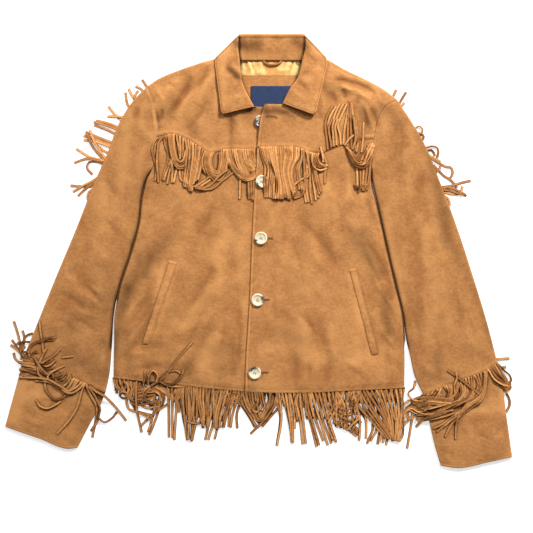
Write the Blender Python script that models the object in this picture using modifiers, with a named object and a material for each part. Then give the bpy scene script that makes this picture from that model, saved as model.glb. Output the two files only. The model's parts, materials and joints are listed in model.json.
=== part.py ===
"""Fringed suede jacket with a dipped front yoke, laid flat on its back, front side up.

+Y runs from the hem to the collar, +X to the wearer's left, +Z up. The underside rests on z = 0,
and the origin is the middle of the outline there. Every number below is in millimetres;
the meshes are written in metres. "right" and "left" are the wearer's.
"""

import math

import bmesh
import bpy
from mathutils import Vector
from mathutils.bvhtree import BVHTree

MM = 0.001

# ------------------------------------------------------------------ driving dimensions

WALL = 2.0                 # suede with its turned edges and interlining
THIN_WALL = 1.0            # satin, label and fringe leather
SEAM_HALF = 0.25           # each panel stops this far short of its seam line
CLEAR = 0.35               # between layers that lie on each other
EDGE_TOP = 4.6             # top of an upper panel where it comes down on the under layer
LEVEL = 7.9                # top of the upper panels away from their edges
EDGE_REACH = 28.0          # from a side seam or fold inwards to the full height
HEM_REACH = 16.0           # the same at an open hem or cuff end
HEM_SHARE = 0.6            # share of the fall that an open end takes
UNDERLAP = 34.0            # button side running under the buttonhole side
LAP_RISE = 2.8             # height that the buttonhole side gains over the underlap
LAP_FADE = 46.0            # length over which that height dies out
SLEEVE_PLAY = 2.0          # between a sleeve and the side of the body

BUTTON_RADIUS = 11.6
BUTTON_HEIGHT = 3.3
FLAP_LIFT = 4.6            # the free flap lies over the top button
FLAP_SPREAD = 30.0

STRAND_WIDTH = 4.6
STRIP_WIDTH = 5.0          # uncut heading that a fringe is sewn in by
FLOOR_GAP = 0.45           # strands end this far above the surface
SEAM_PROBE = 0.7           # wider than a seam gap

# Front edge of the buttonhole side, from hem to neck                     x, y
PLACKET = [(-25.5, -256), (-24.8, -221), (-17.3, -90), (-12.7, 23), (-3.6, 187)]
PLACKET_YOKE = [(-3.6, 187), (0.0, 221), (3.6, 245), (10.0, 265)]

# Hem, from the wearer's right side seam to the front edge, and on to the left side
HEM_RIGHT = [(-264, -232), (-215, -237), (-171, -241), (-136, -245), (-95, -250), (-25.5, -256)]
HEM_LEFT = [(-25.5, -256), (42, -258.5), (122, -257), (180, -254), (264, -250)]

# Side seams, from the hem up to the underarm
SIDE_RIGHT = [(-264, -232), (-263, -170), (-262, -117), (-251, -63), (-233, -8),
              (-218, 46), (-211, 101), (-204, 128), (-193, 150)]
SIDE_LEFT = [(264, -250), (264, -172), (260, -117), (247, -63), (234, -8),
             (222, 46), (212, 90), (204, 125), (204, 150)]

# Armholes, from the underarm up to the shoulder, parted where the yoke seam meets them
ARMHOLE_RIGHT = [(-193, 150), (-186, 182), (-185.6, 208)]
ARMHOLE_RIGHT_YOKE = [(-185.6, 208), (-187, 236), (-191, 263), (-202, 299)]
ARMHOLE_LEFT = [(204, 150), (206, 182), (208.4, 204)]
ARMHOLE_LEFT_YOKE = [(208.4, 204), (214, 232), (226, 258), (251, 274)]

# Yoke seams, from the side to the front edge (right) and from the front edge to the side (left)
YOKE_RIGHT = [(-185.6, 208), (-156.5, 211), (-133, 203), (-114.5, 193), (-89, 178),
              (-63.5, 183), (-16.5, 184), (-3.6, 185)]
YOKE_LEFT = [(-3.6, 187), (36, 187.5), (71, 186), (91, 179), (105.5, 175.5),
             (131, 186), (156.5, 195.5), (180, 202), (208.4, 204)]

# Shoulders, from the armhole to the neck, and the neckline of each front
SHOULDER_RIGHT = [(-202, 299), (-186, 310), (-144, 328), (-85, 347), (-44, 356)]
SHOULDER_LEFT = [(87, 364), (124, 347), (156.5, 328.5), (195, 310), (227.5, 292), (251, 274)]
NECK_RIGHT = [(-8, 259.5), (-22, 274), (-33, 297.5), (-40, 328), (-44, 356)]
NECK_LEFT = [(45.5, 264.5), (62, 288), (75, 309), (84, 341), (87, 364)]
NECK_BACK = [(-44, 356), (-37, 347), (22, 346), (80, 347), (87, 364)]

# Sleeves: outer fold from shoulder to cuff seam; inner fold below the stretch that lies by the body
SLEEVE_OUTER_RIGHT = [(-202, 299), (-227, 274), (-255, 230), (-273, 183), (-297, 128), (-333, 37),
                      (-371, -54), (-415, -163), (-424, -185)]
SLEEVE_OUTER_LEFT = [(251, 274), (275, 237.5), (297, 201), (327.5, 128), (355, 55.5), (391, -54),
                     (413, -126.5), (433, -203)]
SLEEVE_FREE_RIGHT = [(-267.5, -172), (-273, -230), (-279, -257)]
SLEEVE_FREE_LEFT = [(268, -163), (275, -192), (283, -228), (298.5, -262)]
SLEEVE_BY_BODY = 7         # side-seam points that the sleeve follows, counted from the underarm
CUFF_SEAM_RIGHT = [(-424, -185), (-378, -211), (-342, -228), (-304, -245), (-279, -257)]
CUFF_SEAM_LEFT = [(298.5, -262), (340, -244), (380, -229), (410, -217), (433, -203)]
CUFF_OUTER_RIGHT = [(-424, -185), (-437, -232), (-449, -276), (-461, -320)]
CUFF_OUTER_LEFT = [(433, -203), (441, -236), (449, -296), (460, -375)]
CUFF_INNER_RIGHT = [(-279, -257), (-288, -280), (-304, -309), (-329.5, -358)]
CUFF_INNER_LEFT = [(298.5, -262), (309, -308), (319.5, -354), (330.5, -391)]
CUFF_END_RIGHT = [(-461, -320), (-400, -341), (-341, -360), (-329.5, -358)]
CUFF_END_LEFT = [(330.5, -391), (360, -395), (418.5, -384), (460, -375)]

# Collar: outer edge and roll line of each leaf, from the front edge up and round to the back
LEAF_OUTER_RIGHT = [(-63.5, 246), (-69, 252), (-80, 338), (-80, 348.5), (-43.5, 386)]
LEAF_ROLL_RIGHT = [(-8, 259.5), (-15, 272), (-29, 301), (-34.8, 345), (-38.5, 369), (-39.5, 389)]
LEAF_OUTER_LEFT = [(96.5, 245), (104, 252), (124, 338), (122, 349), (90.5, 384)]
LEAF_ROLL_LEFT = [(42, 265), (56, 292), (69, 310), (78.5, 345), (85, 369), (86, 387)]
# Heights of a leaf's top face: share of the way up, roll line, middle, outer edge
LEAF_HEIGHTS = [(0.0, 14.5, 14.0, 12.5), (0.3, 16.5, 15.5, 13.0), (0.6, 16.5, 15.5, 12.5),
                (0.8, 14.0, 13.0, 9.5), (1.0, 9.0, 8.6, 6.5)]
# Back of the collar in section, from the neck seam over the fold and under: y, height, the two
# ends in x, and the extra height at the ends, where the band climbs to the leaves' roll lines
COLLAR_SECTION = [(346.3, 3.5, -34, 77.6, 8.0), (358, 4.9, -35.8, 80.8, 5.5), (369, 6.2, -37.4, 83.8, 3.0),
                  (380, 7.0, -38.3, 85.0, 1.2), (387, 7.2, -38.4, 84.9, 0.4), (391.3, 5.9, -36.5, 82, 0.0),
                  (391.6, 3.4, -36.5, 82, 0.0), (387, 1.5, -38, 84, 0.0), (372, 1.45, -38, 83, 0.0),
                  (358, 1.45, -35.7, 76, 0.0)]

# Main folds of the cloth: start x, y, end x, y, half width, height (a trough is negative)
FOLDS = [
    (-80, 340, -148, 238, 12, -2.6), (-98, 326, -160, 218, 11, 2.6), (-126, 312, -182, 236, 11, -2.4),
    (-104, 300, -134, 206, 11, -2.2), (-53, 282, -53, 204, 10, -1.8), (-82, 84, -114, 26, 14, -2.4),
    (-48, 34, -86, -34, 16, 2.6), (-56, -44, -146, -156, 17, 3.0), (-84, -28, -150, -128, 14, -2.3),
    (-72, -150, -110, -236, 16, 3.0), (-44, -60, -45, -232, 13, -2.4), (-196, -66, -252, -152, 13, -2.0),
    (-188, -110, -246, -200, 13, -1.9), (70, -112, 126, -192, 15, -3.0), (124, -180, 119, -250, 14, -2.6),
    (60, -176, 64, -254, 13, -2.2), (78, -100, 92, -216, 15, 2.6), (66, 60, 144, -36, 16, -2.4),
    (176, 40, 244, -96, 14, -2.5), (160, 66, 224, -46, 15, 2.5), (106, 140, 142, 54, 18, 2.4),
    (-330, -46, -286, -100, 13, -2.4), (-364, -76, -314, -108, 12, -2.0), (281, 54, 284, -146, 20, -2.4),
    (318, 12, 341, -184, 22, 2.2), (-300, 140, -250, 90, 16, -1.6), (300, 150, 262, 60, 16, -1.6),
    (-400, -274, -338, -279, 14, -2.2), (340, -272, 353, -346, 14, -1.9),
]

# Pocket welts: top outer, top inner, bottom outer, bottom inner corners
WELT_RIGHT = [(-163.5, -19), (-147.5, -21), (-212.5, -170), (-199.5, -171)]
WELT_LEFT = [(176, -32), (163.5, -35), (217, -188), (204, -191)]

# Buttons: x, y; the first is unfastened and lies half under the flap
BUTTONS = [(2.7, 233), (5.5, 124.5), (3.6, 22), (-2.2, -89.5), (-7.6, -221)]

# ------------------------------------------------------------------ curves in plan


def smooth_path(points, count):
    """A smooth curve through the points, cut into count equal steps."""
    points = [Vector(p) for p in points]
    chords = [(b - a).length for a, b in zip(points, points[1:])]
    slopes = [(b - a) / h for a, b, h in zip(points, points[1:], chords)]
    inner = [(slopes[k] * chords[k + 1] + slopes[k + 1] * chords[k]) / (chords[k] + chords[k + 1])
             for k in range(len(slopes) - 1)]
    tangents = [slopes[0]] + inner + [slopes[-1]]
    fine = [points[0]]
    for k, chord in enumerate(chords):
        for step in range(1, 13):
            t = step / 12
            fine.append(points[k] * (1 + 2 * t) * (1 - t) ** 2 + tangents[k] * chord * t * (1 - t) ** 2
                        + points[k + 1] * t * t * (3 - 2 * t) - tangents[k + 1] * chord * t * t * (1 - t))
    return [along(fine, k / count) for k in range(count + 1)]


def length_of(line):
    return sum((b - a).length for a, b in zip(line, line[1:]))


def along(line, share):
    """The point a given share of the way along a polyline."""
    left = share * length_of(line)
    for a, b in zip(line, line[1:]):
        step = (b - a).length
        if left <= step:
            return a.lerp(b, left / step)
        left -= step
    return line[-1].copy()


def chain(*stretches):
    """Stretches of (points, count) that meet at corners, as one line."""
    line = []
    for points, count in stretches:
        part = smooth_path(points, count)
        line += part[1:] if line else part
    return line


def shifted(points, dx):
    return [(x + dx, y) for x, y in points]


def ramp(value, low, high):
    """0 below low, 1 above high, smooth between."""
    t = min(max((value - low) / (high - low), 0.0), 1.0)
    return t * t * (3 - 2 * t)


def table_at(rows, key):
    """The other columns of a table, between its rows, where its first column is key."""
    for a, b in zip(rows, rows[1:]):
        if key <= b[0]:
            t = max(0.0, (key - a[0]) / (b[0] - a[0]))
            return [p + (q - p) * t for p, q in zip(a[1:], b[1:])]
    return list(rows[-1][1:])


# ------------------------------------------------------------------ panels


class Plan:
    """A four-sided piece of cloth seen from above, filled in evenly between its edges."""

    def __init__(self, bottom, right, top, left, pull_in=SEAM_HALF):
        self.columns = len(bottom) - 1
        self.rows = len(left) - 1
        self.at = {}
        for i in range(self.columns + 1):
            for j in range(self.rows + 1):
                u, v = i / self.columns, j / self.rows
                corners = bottom[0].lerp(bottom[-1], u).lerp(top[0].lerp(top[-1], u), v)
                self.at[i, j] = left[j].lerp(right[j], u) + bottom[i].lerp(top[i], v) - corners
        self.pull_in(pull_in)

    def pull_in(self, gap):
        """Stops the border short of the seam lines."""
        whole = dict(self.at)
        for (i, j), point in whole.items():
            inner = (min(max(i, 1), self.columns - 1), min(max(j, 1), self.rows - 1))
            if inner != (i, j):
                reach = gap * (1.5 if inner[0] != i and inner[1] != j else 1.0)
                self.at[i, j] = point + (whole[inner] - point).normalized() * reach

    def edge_distances(self, i, j):
        """Way along the grid to the bottom, right, top and left edges."""
        row = [self.at[k, j] for k in range(self.columns + 1)]
        column = [self.at[i, k] for k in range(self.rows + 1)]
        return (length_of(column[:j + 1]), length_of(row[i:]),
                length_of(column[j:]), length_of(row[:i + 1]))


def fold_height(x, y):
    """All the folds at a point."""
    total = 0.0
    for x0, y0, x1, y1, half_width, height in FOLDS:
        start, end, point = Vector((x0, y0)), Vector((x1, y1)), Vector((x, y))
        run = end - start
        share = (point - start).dot(run) / run.length_squared
        if 0.0 < share < 1.0:
            away = (point - start.lerp(end, share)).length / half_width
            total += height * math.exp(-away * away) * math.sin(math.pi * share) ** 0.7
    return total


def placket_x(y):
    return table_at([(b, a) for a, b in PLACKET[:-1] + PLACKET_YOKE], y)[0]


def lofted(plan, falls, lapped=False):
    """Heights of an upper panel. falls holds, for the bottom, right, top and left edges, the
    share of the height lost there (a function of the way along the edge) and the reach."""
    def height(i, j):
        x, y = plan.at[i, j]
        ways = (i / plan.columns, j / plan.rows) * 2
        keep = 1.0
        for distance, way, (share, reach) in zip(plan.edge_distances(i, j), ways, falls):
            depth = max(0.0, 1 - distance / reach)
            keep *= 1 - share(way) * depth * depth
        lap = x - placket_x(y)
        calm = ramp(lap, UNDERLAP + 2, UNDERLAP + 24) if lap > -3 else ramp(-lap, 3, 16)
        z = EDGE_TOP + (LEVEL - EDGE_TOP + fold_height(x, y) * calm) * keep
        if lapped:
            z += LAP_RISE * (1 - ramp(lap, UNDERLAP + 6, UNDERLAP + 6 + LAP_FADE))
            away = (Vector((x, y)) - Vector(BUTTONS[0])).length / FLAP_SPREAD
            z += FLAP_LIFT * math.exp(-away * away)
        return z
    return height


def flush(_way):
    return 0.0


def down(_way):
    return 1.0


def open_end(_way):
    return HEM_SHARE


def below(limit):
    """Comes down only on the part of an edge before limit."""
    return lambda way: 1 - ramp(way, limit - 0.12, limit + 0.02)


# ------------------------------------------------------------------ scene objects


def clear_scene():
    for thing in list(bpy.data.objects):
        bpy.data.objects.remove(thing, do_unlink=True)


def make_material(name, colour, roughness, metallic=0.0):
    material = bpy.data.materials.new(name)
    material.use_nodes = True
    shader = material.node_tree.nodes["Principled BSDF"]
    shader.inputs["Base Color"].default_value = (*colour, 1.0)
    shader.inputs["Roughness"].default_value = roughness
    shader.inputs["Metallic"].default_value = metallic
    return material


def add_object(name, mesh, material, collection, wall=None, offset=-1.0):
    """Puts a mesh in the collection; an open surface gets its wall by Solidify."""
    mesh.materials.append(material)
    thing = bpy.data.objects.new(name, mesh)
    collection.objects.link(thing)
    if wall is not None:
        solidify = thing.modifiers.new("wall", "SOLIDIFY")
        solidify.thickness = wall * MM
        solidify.offset = offset
    return thing


def finish_mesh(name, bm):
    """Turns an open surface face up and hands it over in metres."""
    bmesh.ops.recalc_face_normals(bm, faces=bm.faces)
    bm.normal_update()
    if sum(face.normal.z * face.calc_area() for face in bm.faces) < 0:
        bmesh.ops.reverse_faces(bm, faces=bm.faces)
    for vert in bm.verts:
        vert.co *= MM
    mesh = bpy.data.meshes.new(name)
    bm.to_mesh(mesh)
    bm.free()
    mesh.shade_smooth()
    return mesh


def grid(columns, rows, place):
    """A grid whose point (i, j) is moved to place(i, j)."""
    bm = bmesh.new()
    bmesh.ops.create_grid(bm, x_segments=columns, y_segments=rows, size=1.0)
    for vert in bm.verts:
        i = round((vert.co.x + 1) / 2 * columns)
        j = round((vert.co.y + 1) / 2 * rows)
        vert.co = place(i, j)
    return bm


def plan_mesh(name, plan, height):
    """A panel's top face, in triangles so that what lies on it meets the same facets."""
    def place(i, j):
        x, y = plan.at[i, j]
        return x, y, height(i, j)
    bm = grid(plan.columns, plan.rows, place)
    bmesh.ops.triangulate(bm, faces=bm.faces)
    return finish_mesh(name, bm)


class Ground:
    """The top faces of some panels, to lay things on."""

    def __init__(self, panels):
        verts, faces = [], []
        for panel in panels:
            base = len(verts)
            verts += [v.co / MM for v in panel.data.vertices]
            faces += [[base + k for k in p.vertices] for p in panel.data.polygons]
        self.tree = BVHTree.FromPolygons(verts, faces)

    def height(self, x, y):
        """The top face at a point, looked for beside it too, so that no seam gap lets it through."""
        top = 0.0
        for dx, dy in ((0, 0), (SEAM_PROBE, 0), (-SEAM_PROBE, 0), (0, SEAM_PROBE), (0, -SEAM_PROBE)):
            hit = self.tree.ray_cast(Vector((x + dx, y + dy, 100.0)), Vector((0, 0, -1)))
            if hit[0]:
                top = max(top, hit[0].z)
        return top

    def highest(self, centre, radius):
        """The highest point under a disc."""
        ring = [(radius * r * math.cos(a * math.pi / 6), radius * r * math.sin(a * math.pi / 6))
                for r in (0.5, 1.0) for a in range(12)]
        return max(self.height(centre[0] + dx, centre[1] + dy) for dx, dy in ring + [(0, 0)])

    def settle(self, path, half_width, lift):
        """Heights along a strand, so that each straight span clears what it lies on."""
        def need(a, b, t):
            side = (b - a).normalized().orthogonal() * (half_width + SEAM_PROBE)
            middle = a.lerp(b, t)
            return max(self.height(*(middle + side * s)) for s in (-1, 0, 1)) + lift
        spans = list(zip(path, path[1:]))
        heights = [need(a, b, 0.0) for a, b in spans] + [need(*spans[-1], 1.0)]
        for _round in range(6):
            for k, (a, b) in enumerate(spans):
                for t in (0.0, 0.15, 0.3, 0.45, 0.6, 0.75, 0.9, 1.0):
                    short = need(a, b, t) - (heights[k] * (1 - t) + heights[k + 1] * t)
                    if short > 0:
                        heights[k] += short * (1 - t)
                        heights[k + 1] += short * t
        return heights


# ------------------------------------------------------------------ fringes


def strand_path(root, heading, length, lean, curl, steps):
    """Points of a strand's middle line. Its heading turns by lean at once and by curl to the tip."""
    path = [root]
    for k in range(steps):
        angle = heading + lean + curl * (k + 0.5) / steps
        path.append(path[-1] + Vector((math.cos(angle), math.sin(angle))) * (length / steps))
    return path


def grow(bm, edge, path, heights, taper):
    """Extrudes a root edge along a strand's path."""
    first, second = edge.verts
    for k in range(1, len(path)):
        ahead = path[min(k + 1, len(path) - 1)] - path[k - 1]
        across = Vector((-ahead.y, ahead.x)).normalized() * (STRAND_WIDTH / 2)
        if k == len(path) - 1:
            across *= taper
        if (first.co - second.co).xy.dot(across) < 0:
            across = -across
        made = bmesh.ops.extrude_edge_only(bm, edges=[edge])["geom"]
        edge = next(g for g in made if isinstance(g, bmesh.types.BMEdge))
        if (edge.verts[0].co - first.co).length < (edge.verts[1].co - first.co).length:
            first, second = edge.verts
        else:
            second, first = edge.verts
        first.co = (*(path[k] + across), heights[k])
        second.co = (*(path[k] - across), heights[k])


def fringe_mesh(name, seam, hang_side, count, strand, lay, margins, strip=STRIP_WIDTH,
                start=CLEAR, steps=3, plumb=False):
    """A comb: an uncut strip that follows the seam, and strands along its far edge.

    strand(share) gives length, lean and curl, and lay(path) the heights of a path's points.
    hang_side is +1 where the strands hang to the left of the seam's direction, margins are left
    free at the seam's two ends, and the strip begins at start from the seam. Plumb strands fall
    towards the hem, and others square to the seam."""
    whole = length_of(seam)
    pitch = (whole - sum(margins) - STRAND_WIDTH) / (count - 1)
    stops = [margins[0] + k // 2 * pitch + k % 2 * STRAND_WIDTH for k in range(2 * count)]

    def frame_at(stop):
        here = along(seam, stop / whole)
        ahead = along(seam, min(1.0, stop / whole + 0.01)) - along(seam, max(0.0, stop / whole - 0.01))
        return here, Vector((-ahead.y, ahead.x)).normalized() * hang_side

    def place(i, j):
        here, out = frame_at(stops[i])
        point = here + out * (start + (strip if j == 0 else 0.0))
        return (*point, lay([point, point + out * 0.5])[0])

    bm = grid(2 * count - 1, 1, place)
    roots = {}
    for edge in bm.edges:
        middle = (edge.verts[0].co + edge.verts[1].co).xy / 2
        for k in range(count):
            here, out = frame_at(margins[0] + k * pitch + STRAND_WIDTH / 2)
            if (middle - here - out * (start + strip)).length < STRAND_WIDTH * 0.3:
                roots[k] = (edge, middle, out)
    for k, (edge, middle, out) in sorted(roots.items()):
        length, lean, curl = strand(k / (count - 1))
        heading = -math.pi / 2 if plumb else math.atan2(out.y, out.x)
        path = strand_path(middle, heading, length, lean, curl, steps)
        grow(bm, edge, path, lay(path), 0.75)
    return finish_mesh(name, bm)


def sway(share, waves, phase):
    """An uneven wave along a fringe, between -1 and 1."""
    turn = 2 * math.pi * waves * share + phase
    return 0.6 * math.sin(turn) + 0.4 * math.sin(1.9 * turn + 1.3)


# ------------------------------------------------------------------ the pieces


def build_torso(add):
    """Back, lower fronts and yokes. Returns the upper panels."""
    back = Plan(chain((HEM_RIGHT, 4), (HEM_LEFT, 5)),
                chain((SIDE_LEFT, BACK_ROWS), (ARMHOLE_LEFT, 1), (ARMHOLE_LEFT_YOKE, 3)),
                chain((SHOULDER_RIGHT, 2), (NECK_BACK, 4), (SHOULDER_LEFT, 3)),
                chain((SIDE_RIGHT, BACK_ROWS), (ARMHOLE_RIGHT, 1), (ARMHOLE_RIGHT_YOKE, 3)))
    add("back", plan_mesh("back", back, lambda i, j: WALL), "suede", WALL)

    under_hem = [(-25.5, -256), (8.5, -257.5)]
    under_front = [(8.5, -257.5), (17, -90), (21.5, 23), (31, 186)]
    under_yoke = [(31, 186), (35, 221), (43, 262)]
    front_rows = SIDE_ROWS + HEAD_STEPS[0]
    side = below(SIDE_ROWS / front_rows)
    plan = Plan(chain((HEM_RIGHT, 12), (under_hem, 2)), chain((under_front, front_rows)),
                chain((YOKE_RIGHT, 12), ([YOKE_RIGHT[-1], under_front[-1]], 2)),
                chain((SIDE_RIGHT, SIDE_ROWS), (ARMHOLE_RIGHT, HEAD_STEPS[0])))
    falls = ((open_end, HEM_REACH), (flush, 1.0), (flush, 1.0), (side, EDGE_REACH))
    front_right = add("front_right", plan_mesh("front_right", plan, lofted(plan, falls)), "suede", WALL)

    plan = Plan(chain((HEM_LEFT, 14)), chain((SIDE_LEFT, SIDE_ROWS), (ARMHOLE_LEFT, HEAD_STEPS[0])),
                chain((YOKE_LEFT, 14)), chain((PLACKET, front_rows)))
    falls = ((open_end, HEM_REACH), (side, EDGE_REACH), (flush, 1.0), (flush, 1.0))
    front_left = add("front_left", plan_mesh("front_left", plan, lofted(plan, falls, lapped=True)),
                     "suede", WALL)

    plan = Plan(chain((YOKE_RIGHT, 12), ([YOKE_RIGHT[-1], under_yoke[0]], 2)),
                chain((under_yoke, 3), ([under_yoke[-1], NECK_RIGHT[0]], 2), (NECK_RIGHT, 4)),
                chain((SHOULDER_RIGHT, 14)), chain((ARMHOLE_RIGHT_YOKE, 9)))
    falls = ((flush, 1.0), (flush, 1.0), (down, EDGE_REACH), (flush, 1.0))
    yoke_right = add("yoke_right", plan_mesh("yoke_right", plan, lofted(plan, falls)), "suede", WALL)

    plan = Plan(chain((YOKE_LEFT, 14)), chain((ARMHOLE_LEFT_YOKE, 9)), chain((SHOULDER_LEFT, 14)),
                chain((PLACKET_YOKE, 4), ([PLACKET_YOKE[-1], NECK_LEFT[0]], 2), (NECK_LEFT, 3)))
    yoke_left = add("yoke_left", plan_mesh("yoke_left", plan, lofted(plan, falls, lapped=True)),
                    "suede", WALL)
    return front_right, front_left, yoke_right, yoke_left


SIDE_ROWS = 15             # rows of a lower front below the underarm
BACK_ROWS = 10             # the same on the back
HEAD_STEPS = (3, 6)        # columns across a sleeve, below and above the yoke seam
HEAD_COLUMNS = sum(HEAD_STEPS)
UNDER_STEPS = (1, 3)       # the same across an under sleeve, whose armhole edge the back shares
SLEEVE_ROWS = 15
CUFF_ROWS = 4
FRINGED_SHARE = 0.5        # part of the outer fold that the arm fringe takes, from the shoulder
UNDER_INSET = 12.0         # the under sleeve stops short there, and the fringe's strip fills in
ARM_STRIP = 4.0


def sleeve_edges(side):
    """Armhole in two stretches, cuff seam and cuff end from the outer fold inwards, and the outer
    and inner folds from the cuff up."""
    if side == "right":
        play, body, free, outer = -SLEEVE_PLAY, SIDE_RIGHT, SLEEVE_FREE_RIGHT, SLEEVE_OUTER_RIGHT
        head = ARMHOLE_RIGHT, ARMHOLE_RIGHT_YOKE
        seam, end = CUFF_SEAM_RIGHT, CUFF_END_RIGHT
    else:
        play, body, free, outer = SLEEVE_PLAY, SIDE_LEFT, SLEEVE_FREE_LEFT, SLEEVE_OUTER_LEFT
        head = ARMHOLE_LEFT, ARMHOLE_LEFT_YOKE
        seam, end = list(reversed(CUFF_SEAM_LEFT)), list(reversed(CUFF_END_LEFT))
    by_body = shifted(list(reversed(body))[1:SLEEVE_BY_BODY], play)
    inner = [head[0][0]] + by_body + free
    return head, seam, end, list(reversed(outer)), list(reversed(inner))


def armhole(head, steps):
    """The armhole from the shoulder to the underarm, in the steps its neighbours use."""
    return list(reversed(chain((head[0], steps[0]), (head[1], steps[1]))))


def build_sleeve(add, side):
    """Upper and under sleeve and cuff of one arm. Returns the upper ones."""
    head, seam, end, outer, inner = sleeve_edges(side)
    outer_line, inner_line = smooth_path(outer, SLEEVE_ROWS), smooth_path(inner, SLEEVE_ROWS)
    top = Plan(smooth_path(seam, HEAD_COLUMNS), inner_line, armhole(head, HEAD_STEPS), outer_line)
    falls = ((flush, 1.0), (below(0.98), EDGE_REACH), (flush, 1.0), (down, EDGE_REACH))
    name = "sleeve_top_" + side
    sleeve = add(name, plan_mesh(name, top, lofted(top, falls)), "suede", WALL)

    under_head = armhole(head, UNDER_STEPS)
    under_head[0] = along(under_head, UNDER_INSET / length_of(under_head))
    under_outer = []
    for k, (outside, inside) in enumerate(zip(outer_line[:-1], inner_line)):
        inset = UNDER_INSET * ramp(k / SLEEVE_ROWS, 1 - FRINGED_SHARE - 0.08, 1 - FRINGED_SHARE)
        under_outer.append(outside + (inside - outside).normalized() * inset)
    under_outer.append(under_head[0])
    columns = len(under_head) - 1
    under = Plan(smooth_path(seam, columns), inner_line, under_head, under_outer)
    name = "sleeve_under_" + side
    add(name, plan_mesh(name, under, lambda i, j: WALL), "suede", WALL)

    cuff_outer = CUFF_OUTER_RIGHT if side == "right" else CUFF_OUTER_LEFT
    cuff_inner = CUFF_INNER_RIGHT if side == "right" else CUFF_INNER_LEFT
    cuff_outer, cuff_inner = list(reversed(cuff_outer)), list(reversed(cuff_inner))
    plan = Plan(smooth_path(end, HEAD_COLUMNS), smooth_path(cuff_inner, CUFF_ROWS),
                smooth_path(seam, HEAD_COLUMNS), smooth_path(cuff_outer, CUFF_ROWS))
    falls = ((open_end, HEM_REACH), (down, EDGE_REACH), (flush, 1.0), (down, EDGE_REACH))
    name = "cuff_top_" + side
    cuff = add(name, plan_mesh(name, plan, lofted(plan, falls)), "suede", WALL)
    plan = Plan(smooth_path(end, 4), smooth_path(cuff_inner, CUFF_ROWS),
                smooth_path(seam, 4), smooth_path(cuff_outer, CUFF_ROWS))
    name = "cuff_under_" + side
    add(name, plan_mesh(name, plan, lambda i, j: WALL), "suede", WALL)
    return [sleeve, cuff]


def build_collar(add, ground):
    """The folded back of the collar and its two leaves."""
    across = 10

    def place(i, j):
        y, z, right_end, left_end, climb = COLLAR_SECTION[j]
        share = i / across
        return right_end + (left_end - right_end) * share, y, z + climb * abs(2 * share - 1) ** 6
    bm = grid(across, len(COLLAR_SECTION) - 1, place)
    bmesh.ops.recalc_face_normals(bm, faces=bm.faces)
    for vert in bm.verts:
        vert.co *= MM
    mesh = bpy.data.meshes.new("collar_back")
    bm.to_mesh(mesh)
    bm.free()
    mesh.shade_smooth()
    add("collar_back", mesh, "suede", WALL, offset=0.0)

    for side, outer, roll in (("right", LEAF_OUTER_RIGHT, LEAF_ROLL_RIGHT),
                              ("left", LEAF_OUTER_LEFT, LEAF_ROLL_LEFT)):
        rows, columns = 9, 5
        edge = chain((outer[:2], 1), (outer[1:3], 5), (outer[2:4], 1), (outer[3:], 2))
        line = smooth_path(roll, rows)
        plan = Plan(smooth_path([roll[0], outer[0]], columns), edge,
                    smooth_path([roll[-1], outer[-1]], columns), line)
        raised = LAP_RISE / 2 if side == "left" else 0.0

        def height(i, j):
            at_roll, at_middle, at_edge = table_at(LEAF_HEIGHTS, j / plan.rows)
            t = i / plan.columns
            z = at_roll * (1 - t) * (1 - 2 * t) + at_middle * 4 * t * (1 - t) + at_edge * t * (2 * t - 1)
            x, y = plan.at[i, j]
            return max(z + raised, ground.highest((x, y), 6.0) + WALL + 1.2)
        name = "collar_leaf_" + side
        add(name, plan_mesh(name, plan, height), "suede", WALL)


LINING_TOP, LINING_BOTTOM = 345.6, 316.5
FACING_BOTTOM = 244.0
LABEL_BOX = (-14.6, 254.0, 60.0, 298.5)
PLEATS = [(-30, 8, 1.7), (-20, 6, 1.3), (-8, 7, 0.9), (52, 7, 1.0), (62, 6, 1.4), (71, 8, 1.7)]


def build_neck(add):
    """What shows inside the neck: satin, facing, blank label and hanger loop."""
    def oblong(x0, y0, x1, y1, columns, rows, height):
        def place(i, j):
            x, y = x0 + (x1 - x0) * i / columns, y0 + (y1 - y0) * j / rows
            return x, y, height(x, y)
        return grid(columns, rows, place)

    floor = WALL + CLEAR + THIN_WALL

    def pleated(x, _y):
        return floor + sum(h * math.exp(-((x - at) / w) ** 2) for at, w, h in PLEATS)
    bm = oblong(-40, LINING_BOTTOM, 82, LINING_TOP, 40, 2, pleated)
    lining = add("lining", finish_mesh("lining", bm), "satin", THIN_WALL)
    bm = oblong(-36, FACING_BOTTOM, 78, LINING_BOTTOM - CLEAR, 4, 3, lambda x, y: floor + 0.2)
    add("neck_facing", finish_mesh("neck_facing", bm), "suede", THIN_WALL + 0.2)
    bm = oblong(*LABEL_BOX, 4, 3, lambda x, y: floor + 0.2 + CLEAR + 0.7)
    add("label", finish_mesh("label", bm), "label", 0.7)

    loop = smooth_path([(6, 344.5), (9, 340), (16, 336.5), (32, 336), (46, 336.5), (53, 340),
                        (56, 344.5)], 14)
    satin = Ground([lining])

    def place(i, j):
        ahead = loop[min(i + 1, 14)] - loop[max(i - 1, 0)]
        side = Vector((-ahead.y, ahead.x)).normalized() * 2.2
        point = loop[i] + side * (2 * j - 1)
        arch = 0.9 * math.sin(math.pi * i / 14)
        return point.x, min(point.y, LINING_TOP), satin.highest(point, 4.0) + CLEAR + 1.5 + arch
    add("hanger_loop", finish_mesh("hanger_loop", grid(14, 1, place)), "suede", 1.5)


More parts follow.
